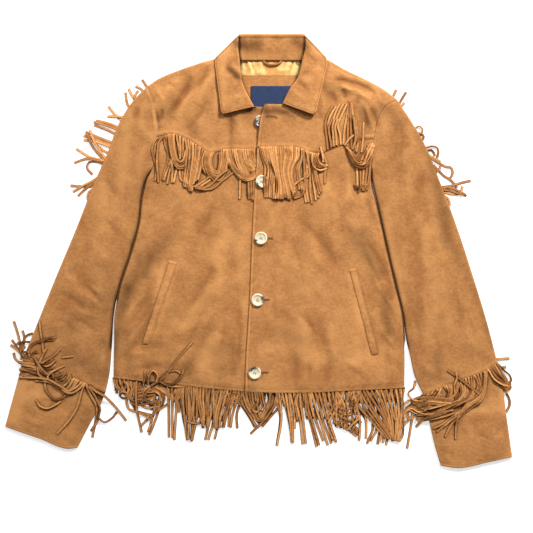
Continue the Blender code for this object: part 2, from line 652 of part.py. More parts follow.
def build_welts(add, ground):
    for side, corners in (("right", WELT_RIGHT), ("left", WELT_LEFT)):
        top_outer, top_inner, low_outer, low_inner = [Vector(c) for c in corners]
        columns, rows = 2, 10

        def place(i, j):
            at_outer, at_inner = low_outer.lerp(top_outer, j / rows), low_inner.lerp(top_inner, j / rows)
            point = at_outer.lerp(at_inner, i / columns)
            crown = 0.5 if i == 1 else 0.0
            return (*point, ground.highest(point, 5.0) + CLEAR + 1.6 + crown)
        name = "pocket_welt_" + side
        add(name, finish_mesh(name, grid(columns, rows, place)), "suede", 1.6)


def build_buttons(add, ground, under_ground):
    """Turned buttons with a raised rim."""
    radius, height = BUTTON_RADIUS, BUTTON_HEIGHT
    profile = [(0.0, 0.68 * height), (0.62 * radius, 0.68 * height), (0.78 * radius, height),
               (0.92 * radius, height), (radius, 0.75 * height), (0.95 * radius, 0.2 * height),
               (0.7 * radius, 0.0), (0.0, 0.0)]
    mesh = bpy.data.meshes.new("button")
    bm = bmesh.new()
    verts = [bm.verts.new((x * MM, 0.0, z * MM)) for x, z in profile]
    for a, b in zip(verts, verts[1:]):
        bm.edges.new((a, b))
    bm.to_mesh(mesh)
    bm.free()
    for number, (x, y) in enumerate(BUTTONS, 1):
        floor = (under_ground if number == 1 else ground).highest((x, y), radius)
        thing = add(f"button_{number}", mesh.copy(), "horn")
        thing.location = (x * MM, y * MM, (floor + CLEAR) * MM)
        screw = thing.modifiers.new("turned", "SCREW")
        screw.steps = screw.render_steps = 14
        screw.use_merge_vertices = True
        screw.merge_threshold = 0.00001


def build_yoke_fringes(add, ground):
    lay = lambda path: ground.settle(path, STRAND_WIDTH / 2, CLEAR)
    seam = smooth_path(YOKE_RIGHT, 60)

    def right_strand(share):
        length = 80 + 10 * sway(share, 1.3, 0.4)
        lean = 4 * sway(share, 1.5, 0.0) - 9 * ramp(share, 0.75, 1.0)
        return length, math.radians(lean), math.radians(5 * sway(share, 1.2, 2.0) * (1 - share ** 4))
    mesh = fringe_mesh("yoke_fringe_right", seam, -1, 25, right_strand, lay, (3.0, 7.0), plumb=True)
    add("yoke_fringe_right", mesh, "fringe", THIN_WALL, offset=1.0)

    seam = smooth_path(YOKE_LEFT, 60)

    def left_strand(share):
        length = 86 + 6 * sway(share, 1.7, 1.0)
        if share < 0.13:
            length = 36.0
        lean = 4 * sway(share, 1.5, 1.5) - 5 * ramp(share, 0.5, 1.0)
        return length, math.radians(lean), math.radians(5 * sway(share, 1.2, 0.5))
    mesh = fringe_mesh("yoke_fringe_left", seam, -1, 28, left_strand, lay, (4.0, 5.0), plumb=True)
    add("yoke_fringe_left", mesh, "fringe", THIN_WALL, offset=1.0)


def build_hem_fringes(add):
    """Fronts' strands come down from the lifted hem; the back's lie just above the surface."""
    def sloping(root, tip):
        def lay(path):
            if len(path) == 2:
                return [root, root]
            last = len(path) - 1
            return [tip + (root - tip) * (1 - k / last) ** 2 for k in range(len(path))]
        return lay
    front_tip = FLOOR_GAP + THIN_WALL + CLEAR
    for side, points, count in (("right", HEM_RIGHT, 24), ("left", HEM_LEFT, 28)):
        def strand(share, phase=len(side)):
            length = 90 + 7 * sway(share, 2.3, phase)
            lean, curl = 6 * sway(share, 1.7, phase), 6 * sway(share, 1.2, 2 * phase)
            return length, math.radians(lean), math.radians(curl)
        name = "hem_fringe_" + side
        mesh = fringe_mesh(name, smooth_path(points, 60), -1, count, strand,
                           sloping(4.2, front_tip), (3.0, 3.0), plumb=True)
        add(name, mesh, "fringe", THIN_WALL, offset=1.0)

    def strand(share):
        return 84 + 8 * sway(share, 3.1, 2.0), math.radians(7 * sway(share, 2.4, 1.0)), 0.0
    seam = chain((HEM_RIGHT, 30), (HEM_LEFT, 40))
    mesh = fringe_mesh("hem_fringe_back", seam, -1, 22, strand,
                       lambda path: [FLOOR_GAP] * len(path), (12.0, 12.0), steps=2, plumb=True)
    add("hem_fringe_back", mesh, "fringe", THIN_WALL, offset=1.0)


def build_cuff_fringes(add, ground):
    def lay(path):
        return [max(z, FLOOR_GAP) for z in ground.settle(path, STRAND_WIDTH / 2, 2 * CLEAR)]
    for side, seam, spread in (("right", CUFF_SEAM_RIGHT, (-40, 26)), ("left", CUFF_SEAM_LEFT, (-34, 36))):
        def strand(share, side=side, spread=spread):
            lean = spread[0] + (spread[1] - spread[0]) * share
            from_outer = share if side == "right" else 1 - share
            length = 68 + 8 * sway(share, 1.9, 0.7) - 30 * (1 - ramp(from_outer, 0.0, 0.3))
            return length, math.radians(lean * 0.5), math.radians(lean * 0.6)
        name = "cuff_fringe_" + side
        mesh = fringe_mesh(name, smooth_path(seam, 40), -1, 18, strand, lay, (6.0, 6.0))
        add(name, mesh, "fringe", THIN_WALL, offset=1.0)


def build_arm_fringes(add):
    """Strands out of the back-arm seam, lying on the surface beside the sleeve."""
    root = EDGE_TOP - WALL - THIN_WALL - CLEAR

    def lay(path):
        if len(path) == 2:
            return [root, root]
        return [root] + [FLOOR_GAP] * (len(path) - 1)
    for side, outer, hang_side in (("right", SLEEVE_OUTER_RIGHT, -1), ("left", SLEEVE_OUTER_LEFT, 1)):
        line = smooth_path(outer, 60)
        line = line[3:round(60 * FRINGED_SHARE) - 2]

        def strand(share, reach=26 if side == "right" else 30):
            length = reach * (0.35 + 0.75 * ramp(share, 0.0, 0.75)) * (1 + 0.35 * sway(share, 4.0, reach))
            lean, curl = 8 * sway(share, 3.0, 1.0), 14 * sway(share, 2.0, 2.0)
            return length + 8, math.radians(lean), math.radians(curl)
        name = "sleeve_fringe_" + side
        mesh = fringe_mesh(name, line, hang_side, 15, strand, lay, (1.0, 1.0), strip=ARM_STRIP,
                           start=-ARM_STRIP - 1.8, steps=2)
        add(name, mesh, "fringe", THIN_WALL, offset=1.0)


def main():
    clear_scene()
    collection = bpy.data.collections.new("fringed_suede_jacket")
    bpy.context.scene.collection.children.link(collection)
    materials = {
        "suede": make_material("suede", (0.56, 0.25, 0.08), 0.95),
        "fringe": make_material("fringe", (0.42, 0.18, 0.06), 0.9),
        "satin": make_material("satin", (0.95, 0.70, 0.30), 0.35),
        "label": make_material("label", (0.045, 0.065, 0.15), 0.8),
        "horn": make_material("horn", (0.85, 0.78, 0.58), 0.3),
    }

    def add(name, mesh, material, wall=None, offset=-1.0):
        return add_object(name, mesh, materials[material], collection, wall, offset)

    front_right, front_left, yoke_right, yoke_left = build_torso(add)
    fronts = Ground([front_right, front_left, yoke_right, yoke_left])
    build_collar(add, fronts)
    build_neck(add)
    build_welts(add, fronts)
    build_buttons(add, fronts, Ground([yoke_right]))
    build_yoke_fringes(add, fronts)
    build_hem_fringes(add)
    arm_panels = build_sleeve(add, "right") + build_sleeve(add, "left")
    build_cuff_fringes(add, Ground(arm_panels))
    build_arm_fringes(add)


if __name__ == "__main__":
    main()
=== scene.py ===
"""Looks of a fringed suede jacket that lies flat on its back: cloth, fringe, sewing, buttons,
floor, light and camera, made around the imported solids.

Run as a script, it registers the classes below and calls each operator once. Lengths in the tables
are in millimetres: +Y runs from the hem to the collar, +X to the wearer's left, +Z up from the
floor. "right" and "left" are the wearer's.
"""

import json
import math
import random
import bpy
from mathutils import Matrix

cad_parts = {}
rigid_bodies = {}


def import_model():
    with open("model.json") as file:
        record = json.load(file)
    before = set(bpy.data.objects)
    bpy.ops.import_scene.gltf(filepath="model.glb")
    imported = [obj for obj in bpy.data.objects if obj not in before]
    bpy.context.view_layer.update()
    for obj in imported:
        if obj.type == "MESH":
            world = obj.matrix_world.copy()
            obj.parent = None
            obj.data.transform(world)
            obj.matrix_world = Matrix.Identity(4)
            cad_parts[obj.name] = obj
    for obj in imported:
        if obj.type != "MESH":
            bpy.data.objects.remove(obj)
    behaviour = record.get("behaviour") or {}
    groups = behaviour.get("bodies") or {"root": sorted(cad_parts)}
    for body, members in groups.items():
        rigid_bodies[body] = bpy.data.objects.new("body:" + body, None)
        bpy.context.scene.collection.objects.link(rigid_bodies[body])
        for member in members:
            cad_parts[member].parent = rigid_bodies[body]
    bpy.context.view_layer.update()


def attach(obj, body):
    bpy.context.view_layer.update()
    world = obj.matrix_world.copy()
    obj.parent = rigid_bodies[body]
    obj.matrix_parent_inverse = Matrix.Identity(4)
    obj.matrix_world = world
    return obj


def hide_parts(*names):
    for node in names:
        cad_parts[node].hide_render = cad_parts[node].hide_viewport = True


bl_info = {
    "name": "Fringed suede jacket",
    "version": (1, 0, 0),
    "blender": (4, 5, 0),
    "location": "3D View > Sidebar > Jacket",
    "description": "Makes the cloth, fringe, sewing and buttons of a suede jacket laid flat",
    "category": "Object",
}

import bmesh
import bpy
import numpy as np
from bpy.props import FloatProperty, FloatVectorProperty, IntProperty, PointerProperty
from mathutils import Vector, noise
from mathutils.bvhtree import BVHTree

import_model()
MM = 0.001

# ------------------------------------------------------------------ the jacket's pattern

# Front edge of the buttonhole side, from hem to neck                     x, y
PLACKET = [(-25.5, -256), (-24.8, -221), (-17.3, -90), (-12.7, 23), (-3.6, 187)]
PLACKET_YOKE = [(-3.6, 187), (0.0, 221), (3.6, 245), (10.0, 265)]

# Hem, from the wearer's right side seam to the front edge, and on to the left side
HEM_RIGHT = [(-264, -232), (-215, -237), (-171, -241), (-136, -245), (-95, -250), (-25.5, -256)]
HEM_LEFT = [(-25.5, -256), (42, -258.5), (122, -257), (180, -254), (264, -250)]

# Side seams, from the hem up to the underarm
SIDE_RIGHT = [(-264, -232), (-263, -170), (-262, -117), (-251, -63), (-233, -8),
              (-218, 46), (-211, 101), (-204, 128), (-193, 150)]
SIDE_LEFT = [(264, -250), (264, -172), (260, -117), (247, -63), (234, -8),
             (222, 46), (212, 90), (204, 125), (204, 150)]

# Armholes, from the underarm up to the shoulder, parted where the yoke seam meets them
ARMHOLE_RIGHT = [(-193, 150), (-186, 182), (-185.6, 208)]
ARMHOLE_RIGHT_YOKE = [(-185.6, 208), (-187, 236), (-191, 263), (-202, 299)]
ARMHOLE_LEFT = [(204, 150), (206, 182), (208.4, 204)]
ARMHOLE_LEFT_YOKE = [(208.4, 204), (214, 232), (226, 258), (251, 274)]

# Yoke seams, from the side to the front edge (right) and from the front edge to the side (left)
YOKE_RIGHT = [(-185.6, 208), (-156.5, 211), (-133, 203), (-114.5, 193), (-89, 178),
              (-63.5, 183), (-16.5, 184), (-3.6, 185)]
YOKE_LEFT = [(-3.6, 187), (36, 187.5), (71, 186), (91, 179), (105.5, 175.5),
             (131, 186), (156.5, 195.5), (180, 202), (208.4, 204)]

# Shoulders, from the armhole to the neck, and the neckline of each front
SHOULDER_RIGHT = [(-202, 299), (-186, 310), (-144, 328), (-85, 347), (-44, 356)]
SHOULDER_LEFT = [(87, 364), (124, 347), (156.5, 328.5), (195, 310), (227.5, 292), (251, 274)]
NECK_RIGHT = [(-8, 259.5), (-22, 274), (-33, 297.5), (-40, 328), (-44, 356)]
NECK_LEFT = [(45.5, 264.5), (62, 288), (75, 309), (84, 341), (87, 364)]
NECK_BACK = [(-44, 356), (-32, 348), (22, 346), (71, 348), (87, 364)]
UNDER_HEM = [(-25.5, -256), (8.5, -257.5)]
UNDER_FRONT = [(8.5, -257.5), (17, -90), (21.5, 23), (31, 186)]
UNDER_YOKE = [(31, 186), (35, 221), (43, 262)]

# Sleeves: outer fold from shoulder to cuff seam; inner fold below the stretch that lies by the body
SLEEVE_OUTER_RIGHT = [(-202, 299), (-227, 274), (-255, 230), (-273, 183), (-297, 128), (-333, 37),
                      (-371, -54), (-415, -163), (-424, -185)]
SLEEVE_OUTER_LEFT = [(251, 274), (275, 237.5), (297, 201), (327.5, 128), (355, 55.5), (391, -54),
                     (413, -126.5), (433, -203)]
SLEEVE_FREE_RIGHT = [(-267.5, -172), (-273, -230), (-279, -257)]
SLEEVE_FREE_LEFT = [(268, -163), (275, -192), (283, -228), (298.5, -262)]
SLEEVE_BY_BODY = 7         # side-seam points that the sleeve follows, counted from the underarm
SLEEVE_PLAY = 2.0
CUFF_SEAM_RIGHT = [(-424, -185), (-378, -211), (-342, -228), (-304, -245), (-279, -257)]
CUFF_SEAM_LEFT = [(298.5, -262), (340, -244), (380, -229), (410, -217), (433, -203)]
CUFF_OUTER_RIGHT = [(-424, -185), (-437, -232), (-449, -276), (-461, -320)]
CUFF_OUTER_LEFT = [(433, -203), (441, -236), (449, -296), (460, -375)]
CUFF_INNER_RIGHT = [(-279, -257), (-288, -280), (-304, -309), (-329.5, -358)]
CUFF_INNER_LEFT = [(298.5, -262), (309, -308), (319.5, -354), (330.5, -391)]
CUFF_END_RIGHT = [(-461, -320), (-400, -341), (-341, -360), (-329.5, -358)]
CUFF_END_LEFT = [(330.5, -391), (360, -395), (418.5, -384), (460, -375)]

# Collar: outer edge and roll line of each leaf, from the front edge up and round to the back
LEAF_OUTER_RIGHT = [(-63.5, 246), (-69, 252), (-80, 338), (-80, 348.5), (-41.5, 388)]
LEAF_ROLL_RIGHT = [(-8, 259.5), (-15, 272), (-29, 301), (-34.8, 345), (-37.5, 369), (-36.5, 390.6)]
LEAF_OUTER_LEFT = [(96.5, 245), (104, 252), (124, 338), (122, 349), (88, 386.5)]
LEAF_ROLL_LEFT = [(42, 265), (56, 292), (69, 310), (78.5, 345), (84, 369), (83.5, 389.6)]
# Heights of a leaf's top face: share of the way up, roll line, middle, outer edge
LEAF_HEIGHTS = [(0.0, 14.2, 14.4, 13.4), (0.3, 17.2, 16.0, 13.2), (0.6, 17.0, 15.6, 13.0),
                (0.8, 14.8, 13.8, 10.4), (1.0, 10.2, 9.6, 8.4)]
# Back of the collar in section, from the neck seam over the fold and under: y, height, the two
# ends in x, and the extra height at the ends, where the band climbs to the leaves' roll lines
COLLAR_SECTION = [(344.9, 5.5, -34, 77.6, 6.5), (348.5, 5.6, -34.4, 78.2, 6.2),
                  (358, 5.6, -35.8, 80.8, 5.0), (369, 6.2, -36.6, 82.8, 2.8),
                  (380, 7.0, -36.4, 83.0, 1.0), (385, 7.2, -36.0, 82.4, 0.4),
                  (387.2, 7.9, -36.0, 82.6, 0.1), (389.4, 8.0, -35.8, 82.4, 0.0),
                  (391.6, 5.8, -35.2, 81.6, 0.0), (391.5, 3.2, -35, 81, 0.0), (387, 1.6, -38, 84, 0.0),
                  (372, 1.45, -38, 83, 0.0), (358, 1.45, -35.7, 76, 0.0)]
COLLAR_TUCK = 6.0          # how far the back of the collar runs on under the leaves

# Heights of the upper cloth
WALL = 2.0
THIN_WALL = 1.0
LEVEL = 7.9                # top of the upper panels away from their edges
EDGE_TOP = 4.6             # where an upper panel comes down on the under layer
EDGE_REACH = 28.0
HEM_REACH = 16.0
HEM_SHARE = 0.6
UNDERLAP = 34.0
LAP_RISE = 2.8             # height that the buttonhole side gains over the underlap
LAP_FADE = 46.0
FLAP_LIFT = 4.6            # the free flap lies over the top button
FLAP_SPREAD = 30.0

# Rows of stitching: how far each lies from the edge
SEAM_STITCH = 0.5
LEAF_STITCH = 2.9
PLACKET_STITCH = 6.0
HEM_STITCH = 6.5

# Folds of the cloth: start x, y, end x, y, half width, height (a trough is negative)
MAIN_FOLDS = [
    (-92, 338, -112, 294, 8, -2.4), (-82, 322, -110, 262, 9, 2.8), (-122, 316, -168, 242, 8, -3.6),
    (-138, 318, -184, 250, 9, 2.0), (-112, 294, -150, 236, 9, 2.2), (-92, 274, -134, 216, 9, -2.2),
    (-50, 246, -54, 202, 8, -1.8), (-82, 84, -114, 26, 14, -2.4),
    (-48, 34, -86, -34, 16, 2.6), (-56, -44, -146, -156, 17, 3.0), (-84, -28, -150, -128, 14, -2.3),
    (-72, -150, -110, -236, 16, 3.0), (-44, -60, -45, -232, 13, -2.4), (-196, -66, -252, -152, 13, -2.0),
    (-188, -110, -246, -200, 13, -1.9), (70, -112, 126, -192, 15, -3.0), (124, -180, 119, -250, 14, -2.6),
    (60, -176, 64, -254, 13, -2.2), (78, -100, 92, -216, 15, 2.6), (66, 60, 144, -36, 16, -2.4),
    (176, 40, 244, -96, 14, -2.5), (160, 66, 224, -46, 15, 2.5), (106, 140, 142, 54, 18, 2.4),
    (-330, -46, -286, -100, 13, -2.4), (-364, -76, -314, -108, 12, -2.0), (281, 54, 284, -146, 20, -2.4),
    (318, 12, 341, -184, 22, 2.2), (-300, 140, -250, 90, 16, -1.6), (300, 150, 262, 60, 16, -1.6),
    (-400, -274, -338, -279, 14, -2.2), (340, -272, 353, -346, 14, -1.9),
]
FINE_FOLDS = [
    # right front, from the shoulder down
    (-160, 268, -174, 222, 7, 1.6), (-174, 256, -185, 230, 6, -2.4), (-128, 300, -142, 276, 6, -2.2),
    (-70, 300, -78, 214, 8, 1.2), (-34, 262, -30, 200, 6, 0.8), (-70, 262, -82, 220, 6, -1.2),
    (-186, 296, -172, 270, 5, 1.5), (-168, 306, -150, 290, 5, -1.3), (-98, 248, -112, 222, 5, 1.3),
    (-146, 96, -170, 40, 7, 1.0), (-60, 120, -40, 60, 8, 0.9), (-112, 60, -128, -30, 8, -1.1),
    (-30, 40, -34, -60, 7, 0.9), (-66, -10, -72, -90, 8, 1.2), (-96, -96, -140, -176, 7, -1.3),
    (-120, -84, -168, -166, 6, 1.0), (-62, -120, -80, -200, 6, -1.1), (-30, -110, -36, -246, 5, 1.2),
    (-204, -78, -246, -132, 5, 1.2), (-196, -96, -248, -166, 5, -1.3), (-200, -120, -240, -176, 5, 1.2),
    (-210, -146, -256, -200, 6, -1.2), (-198, -190, -250, -186, 7, 1.4), (-176, -206, -236, -214, 6, -1.0),
    (-150, -190, -196, -178, 7, 1.0), (-208, 20, -238, -50, 6, 0.9), (-196, 70, -214, 20, 6, -0.9),
    # left front
    (44, 140, 60, 60, 9, -0.9), (20, 96, 34, 10, 8, 0.8), (96, 60, 110, -30, 9, 1.1),
    (54, 20, 80, -60, 7, -0.9), (140, 90, 150, 30, 8, -1.0), (164, 150, 172, 96, 7, -1.0),
    (182, 140, 198, 60, 6, 1.0), (190, 96, 214, 30, 6, -1.1), (188, 30, 236, -70, 6, 1.3),
    (200, 10, 246, -80, 5, -1.3), (206, -40, 250, -112, 5, 1.1), (212, -70, 250, -136, 5, -1.2),
    (206, -110, 248, -176, 5, 1.0), (214, -150, 252, -196, 6, -1.0), (130, -130, 140, -200, 7, 1.5),
    (96, -110, 118, -180, 6, 1.2), (84, -180, 90, -246, 6, -1.1), (150, -196, 186, -212, 6, 1.0),
    (160, -214, 200, -240, 6, -1.0), (36, -120, 44, -200, 8, 0.9), (20, -60, 26, -130, 7, -0.8),
    (118, 172, 128, 96, 6, 1.2), (166, 176, 166, 84, 6, 1.1), (132, 44, 146, -10, 8, 0.8),
    (98, 262, 120, 222, 8, -0.9), (134, 309, 172, 302, 6, -3.2), (164, 306, 214, 282, 6, -3.0),
    (146, 300, 176, 288, 6, 3.0), (172, 294, 204, 272, 6, 2.4), (150, 292, 156, 272, 7, -2.6),
    (126, 288, 142, 262, 8, -2.4), (130, 334, 204, 304, 4, 1.2), (178, 282, 172, 252, 6, -1.8),
    (186, 262, 196, 224, 5, -2.8), (203, 258, 214, 218, 6, -3.0), (194, 262, 206, 222, 5, 2.4),
    (110, 300, 118, 262, 7, 1.4), (214, 290, 226, 262, 5, 1.5),
    # sleeves
    (-206, 270, -214, 216, 8, 1.3), (-218, 260, -228, 238, 6, -2.4), (-204, 190, -222, 130, 8, 1.2),
    (-322, -50, -282, -80, 5, 1.4), (-318, -70, -276, -108, 5, 1.2), (-336, -104, -286, -120, 6, 1.3),
    (-344, -124, -294, -146, 6, -1.2), (-282, 60, -256, 20, 8, -0.9), (-304, 20, -270, -20, 9, 0.9),
    (-390, -150, -340, -176, 7, 1.1), (-372, -120, -330, -150, 6, -0.9), (-272, -160, -286, -220, 6, 1.1),
    (-246, 120, -262, 60, 9, 1.0), (-360, -30, -330, -60, 7, 0.9), (-298, -190, -330, -214, 6, -0.9),
    (236, 250, 226, 190, 8, 1.3), (258, 232, 250, 160, 8, -1.4), (270, 190, 262, 120, 7, 1.0),
    (300, 100, 296, 20, 9, -1.1), (322, 70, 332, -20, 9, 1.0), (262, 20, 270, -60, 7, 1.0),
    (300, -40, 306, -130, 8, 1.3), (346, -60, 366, -150, 8, -1.1), (276, -110, 292, -180, 6, -1.2),
    (316, -150, 330, -210, 7, -1.0), (372, -110, 392, -180, 7, 1.0), (286, -190, 330, -232, 5, 1.0),
    # cuffs
    (-414, -262, -352, -268, 6, 1.1), (-430, -300, -380, -316, 7, 0.9), (-340, -290, -352, -330, 7, -0.9),
    (-372, -288, -330, -300, 6, 0.9), (330, -300, 340, -360, 7, 1.1), (392, -330, 420, -350, 8, -0.9),
    (372, -290, 384, -350, 9, 0.9), (424, -340, 444, -330, 6, 1.0), (400, -262, 412, -310, 8, 0.8),
]

# Painted highlights (+) and painted shade (-) on the upper cloth, given as the folds are
PAINTED_LIGHT_AND_SHADE = [
    (-171, 19, -236, -70, 16, -1.5), (-240, -70, -263, -175, 12, -1.5), (166, 38, 217, -36, 12, -1.9),
    (231, -78, 235, -145, 10, -1.7), (302, 228, 342, 20, 13, -2.1), (357, 1, 430, -163, 10, -1.3),
    (222, 262, 254, 230, 14, -1.4), (-44, -180, -100, -172, 18, -1.2), (-100, -140, -150, -112, 14, -0.8),
    (30, -150, 84, -166, 18, -1.4), (-344, -192, -280, -226, 18, -1.3), (-362, -154, -280, -92, 18, -0.8),
    (-431, -224, -446, -305, 14, 2.0), (-404, -268, -350, -262, 14, 1.0), (-435, -327, -338, -356, 8, 1.2),
    (-318, -322, -308, -288, 12, -1.2), (293, -294, 420, -270, 12, 1.0), (440, -236, 450, -290, 8, 1.8),
    (345, -391, 390, -386, 8, 0.8), (-173, 246, -152, 266, 12, -1.4), (-130, 238, -118, 214, 10, -0.9),
    (-66, 292, -60, 258, 10, 1.0), (129, 226, 156, 248, 14, 1.4), (203, 250, 194, 232, 12, -1.5),
    (119, 294, 127, 278, 8, -1.2), (190, 310, 212, 300, 9, 1.0), (-16, 253, 50, 250, 6, -1.8),
    (-52, 238, -20, 250, 9, -1.1), (302, 32, 302, -26, 12, 1.2), (271, 137, 275, 83, 10, 0.8),
    (329, -122, 331, -142, 12, -1.2), (325, -218, 322, -188, 10, -1.5), (366, -256, 380, -258, 8, -1.2),
    (229, 74, 247, -54, 8, 0.9), (184, -90, 175, -200, 12, 0.7), (-280, 130, -280, 44, 16, 0.9),
    (-130, -210, -200, -206, 12, -1.1), (-200, 110, -150, 90, 14, -0.8), (-110, -60, -84, -86, 10, -0.8),
    (-280, -40, -262, -100, 16, -0.8), (74, 182, 72, 165, 3, -3.0), (80, 173, 82, 161, 3, -3.0),
    (250, 180, 262, 150, 12, -0.8), (180, 170, 184, 150, 8, -1.2), (166, 118, 160, 100, 9, 1.0),
    (-190, 205, -176, 186, 10, 0.9), (-30, 40, -22, -100, 14, 0.5),
    (-191, 252, -186.5, 223, 2.6, 1.8), (-184.5, 250, -180.5, 223, 3, -1.6),
    (-206, 296, -195, 277, 2.4, 1.2),
    (-201.5, 296, -190.5, 272, 2.4, -1.2), (-172, -25, -186, -95, 7, 1.3), (176, -50, 192, -140, 6, 1.1),
    (-215, -10, -240, -100, 9, -0.7), (-262, -150, -266, -240, 10, -1.2), (-210, -245, -165, -245, 9, -1.2),
    (-118, -195, -150, -240, 10, -1.0), (-72, -212, -50, -216, 12, -1.3), (-190, -172, -160, -176, 9, -0.9),
    (-130, -92, -105, -86, 10, -0.8), (-185, 240, -158, 242, 7, -0.8), (-52, 85, -40, 40, 11, -0.7),
    (180, 255, 198, 230, 9, -1.2), (184, 180, 186, 160, 7, -1.2), (186, 34, 202, -20, 9, -0.9),
    (222, -95, 226, -125, 9, -0.8), (126, 95, 131, 70, 8, -0.9), (300, -222, 350, -238, 10, -1.0),
    (358, -262, 404, -254, 7, -1.0), (258, -165, 262, -200, 7, -0.9), (320, -30, 330, -120, 10, -0.6),
    (428, -150, 436, -195, 6, -1.0), (362, 60, 374, 10, 6, -0.8), (284, 215, 296, 185, 7, -0.9),
    (-382, -200, -368, -204, 7, -1.0), (-340, -230, -322, -236, 8, -1.0), (-282, -165, -270, -200, 8, -0.9),
    (-434, -222, -400, -232, 10, 1.6), (-400, -346, -350, -356, 6, 0.8), (440, -378, 458, -370, 7, 1.1),
    (-190, -30, -172, -62, 9, 0.7), (-135, -135, -100, -125, 9, 0.9), (184, 128, 186, 108, 8, 1.0),
    (247, -40, 256, -90, 7, 0.9), (0, -256, 110, -262, 7, 0.8), (112, -60, 124, -95, 10, 0.6),
    (-45, -75, -30, -90, 10, 0.7), (-66, 275, -60, 250, 8, 0.8), (-95, 343, -78, 348, 7, 0.8),
    (215, 302, 240, 286, 7, 0.8), (9, 262, 17, 240, 8, -1.8), (28, 256, 62, 244, 7, -1.6),
    (-48, 252, -8, 258, 5, -1.8), (-50, 236, -50, 188, 5, -1.5), (100, 176, 118, 158, 7, -2.0),
    (-196, -12, -206, -45, 8, -0.9), (-240, -150, -236, -215, 8, -1.0), (-195, -250, -170, -256, 8, -1.0),
    (-128, -225, -120, -232, 9, -0.8), (410, -140, 425, -175, 8, -1.0), (196, 88, 206, 60, 8, -1.0),
    (44, -112, 76, -138, 9, -0.8), (30, -20, 86, -58, 10, -0.5), (-98, 30, -40, 26, 9, -0.7),
    (106, 176, 120, 160, 5, -2.4), (170, 166, 196, 146, 6, -1.8), (-170, -60, -200, -130, 9, -0.8),
    (-200, -165, -150, -190, 8, -0.8), (-170, -255, -196, -250, 6, -1.2), (366, -256, 404, -262, 6, -0.9),
    (300, -290, 420, -292, 8, 0.8), (140, 212, 150, 200, 6, 1.0), (236, -190, 250, -205, 8, -0.9),
    (-396, -250, -420, -262, 8, 1.2), (-230, 10, -215, -20, 8, -0.6),
    (293, -292, 440, -284, 7, 1.1), (10, -254, 60, -258, 6, 0.9), (352, 70, 405, -60, 7, -0.7),
    (-235, -150, -130, -160, 12, -0.6), (-235, -222, -150, -232, 10, -0.6),
    (-335, -175, -300, -200, 14, -0.6),
    (-335, -230, -318, -240, 8, -0.7), (-200, 0, -130, -60, 14, -0.5), (115, 300, 150, 290, 9, -0.7),
    (203, 284, 215, 262, 8, 0.8), (-236, 246, -250, 120, 10, 0.8), (-250, 60, -230, 30, 10, 0.6),
    (-30, -100, -26, -200, 10, 0.6), (250, -10, 262, -110, 7, 0.6), (-215, 226, -196, 208, 7, 0.8),
    (24, -168, 120, -196, 18, 0.6), (130, -200, 230, -190, 18, 0.6), (20, 214, 100, 212, 13, 0.25),
]
# The same painted highlights and painted shade on the collar
COLLAR_PAINTED_LIGHT_AND_SHADE = [
    (-36, 374, -4, 372, 12, -2.4), (66, 379, 84, 366, 10, -2.2), (-50, 322, -44, 312, 10, -0.7),
    (122, 330, 116, 348, 9, -0.7), (-28, 389.6, 76, 389.6, 2.0, -0.8), (-58, 327, -32, 305, 4, -1.4),
    (-38, 346, -30, 322, 5, -0.8), (84, 322, 74, 312, 5, -1.2), (-4, 362, 50, 358, 9, -0.6),
    (-55, 331, -38, 313, 5, -1.8), (-42, 372, -20, 362, 9, -1.0), (98, 374, 108, 362, 6, -1.2),
    (-66, 342, -62, 268, 8, 0.9), (20, 372, 46, 374, 7, 0.6),
]
# Folds of the collar's leaves, given as the cloth's are
LEAF_FOLDS = [
    (-62, 330, -28, 303, 6, -1.1), (-50, 336, -26, 316, 6, 0.9),
    (-44, 372, -72, 340, 8, 0.9), (-38, 350, -62, 330, 7, -0.8), (-36, 322, -58, 306, 7, 0.8),
    (-28, 300, -60, 282, 8, -0.8), (-20, 282, -56, 264, 7, 0.7), (92, 376, 114, 344, 8, 0.9),
    (84, 356, 106, 330, 7, -0.8), (72, 314, 96, 300, 7, 0.9), (66, 304, 92, 282, 6, -0.9),
    (60, 292, 88, 268, 7, 0.7),
]

# Pocket welts: top outer, top inner, bottom outer, bottom inner corners
WELT_RIGHT = [(-163.5, -19), (-147.5, -21), (-212.5, -170), (-199.5, -171)]
WELT_LEFT = [(176, -32), (163.5, -35), (217, -188), (204, -191)]

# Buttons: x, y, turn of the holes, where the dark mottling is centred and how far that spreads, the
# last three in degrees. On the top button the dark part is also painted shade on its lower side.
BUTTONS = [(2.7, 233, 20, 240, 125), (5.5, 124.5, 35, 225, 32), (3.6, 22, 30, 205, 18),
           (-2.2, -89.5, 0, 10, 44), (-7.6, -221, 22, 120, 62)]
BUTTON_RADIUS = 11.6
BUTTON_HEIGHT = 3.3
# Section of a button from its middle over the rim and under, as shares of its radius and height
BUTTON_SECTION = [(0, 0.52), (0.30, 0.52), (0.52, 0.56), (0.64, 0.68), (0.73, 0.88), (0.82, 0.99),
                  (0.90, 0.98), (0.965, 0.86), (1, 0.62), (0.99, 0.34), (0.92, 0.12), (0.78, 0), (0, 0)]
HOLE_RADIUS = 0.95
HOLES_OUT = 2.15           # from a button's middle to the middle of each of its four holes
# Buttonholes: the two ends of each slit
BUTTONHOLES = [(12.5, 241.5, 33.5, 239.2), (8.0, 124.0, 25.5, 124.0), (6.0, 22.0, 25.0, 21.5),
               (0.5, -90.0, 19.0, -89.0), (-5.0, -221.5, 17.0, -220.5)]

# ------------------------------------------------------------------ settings


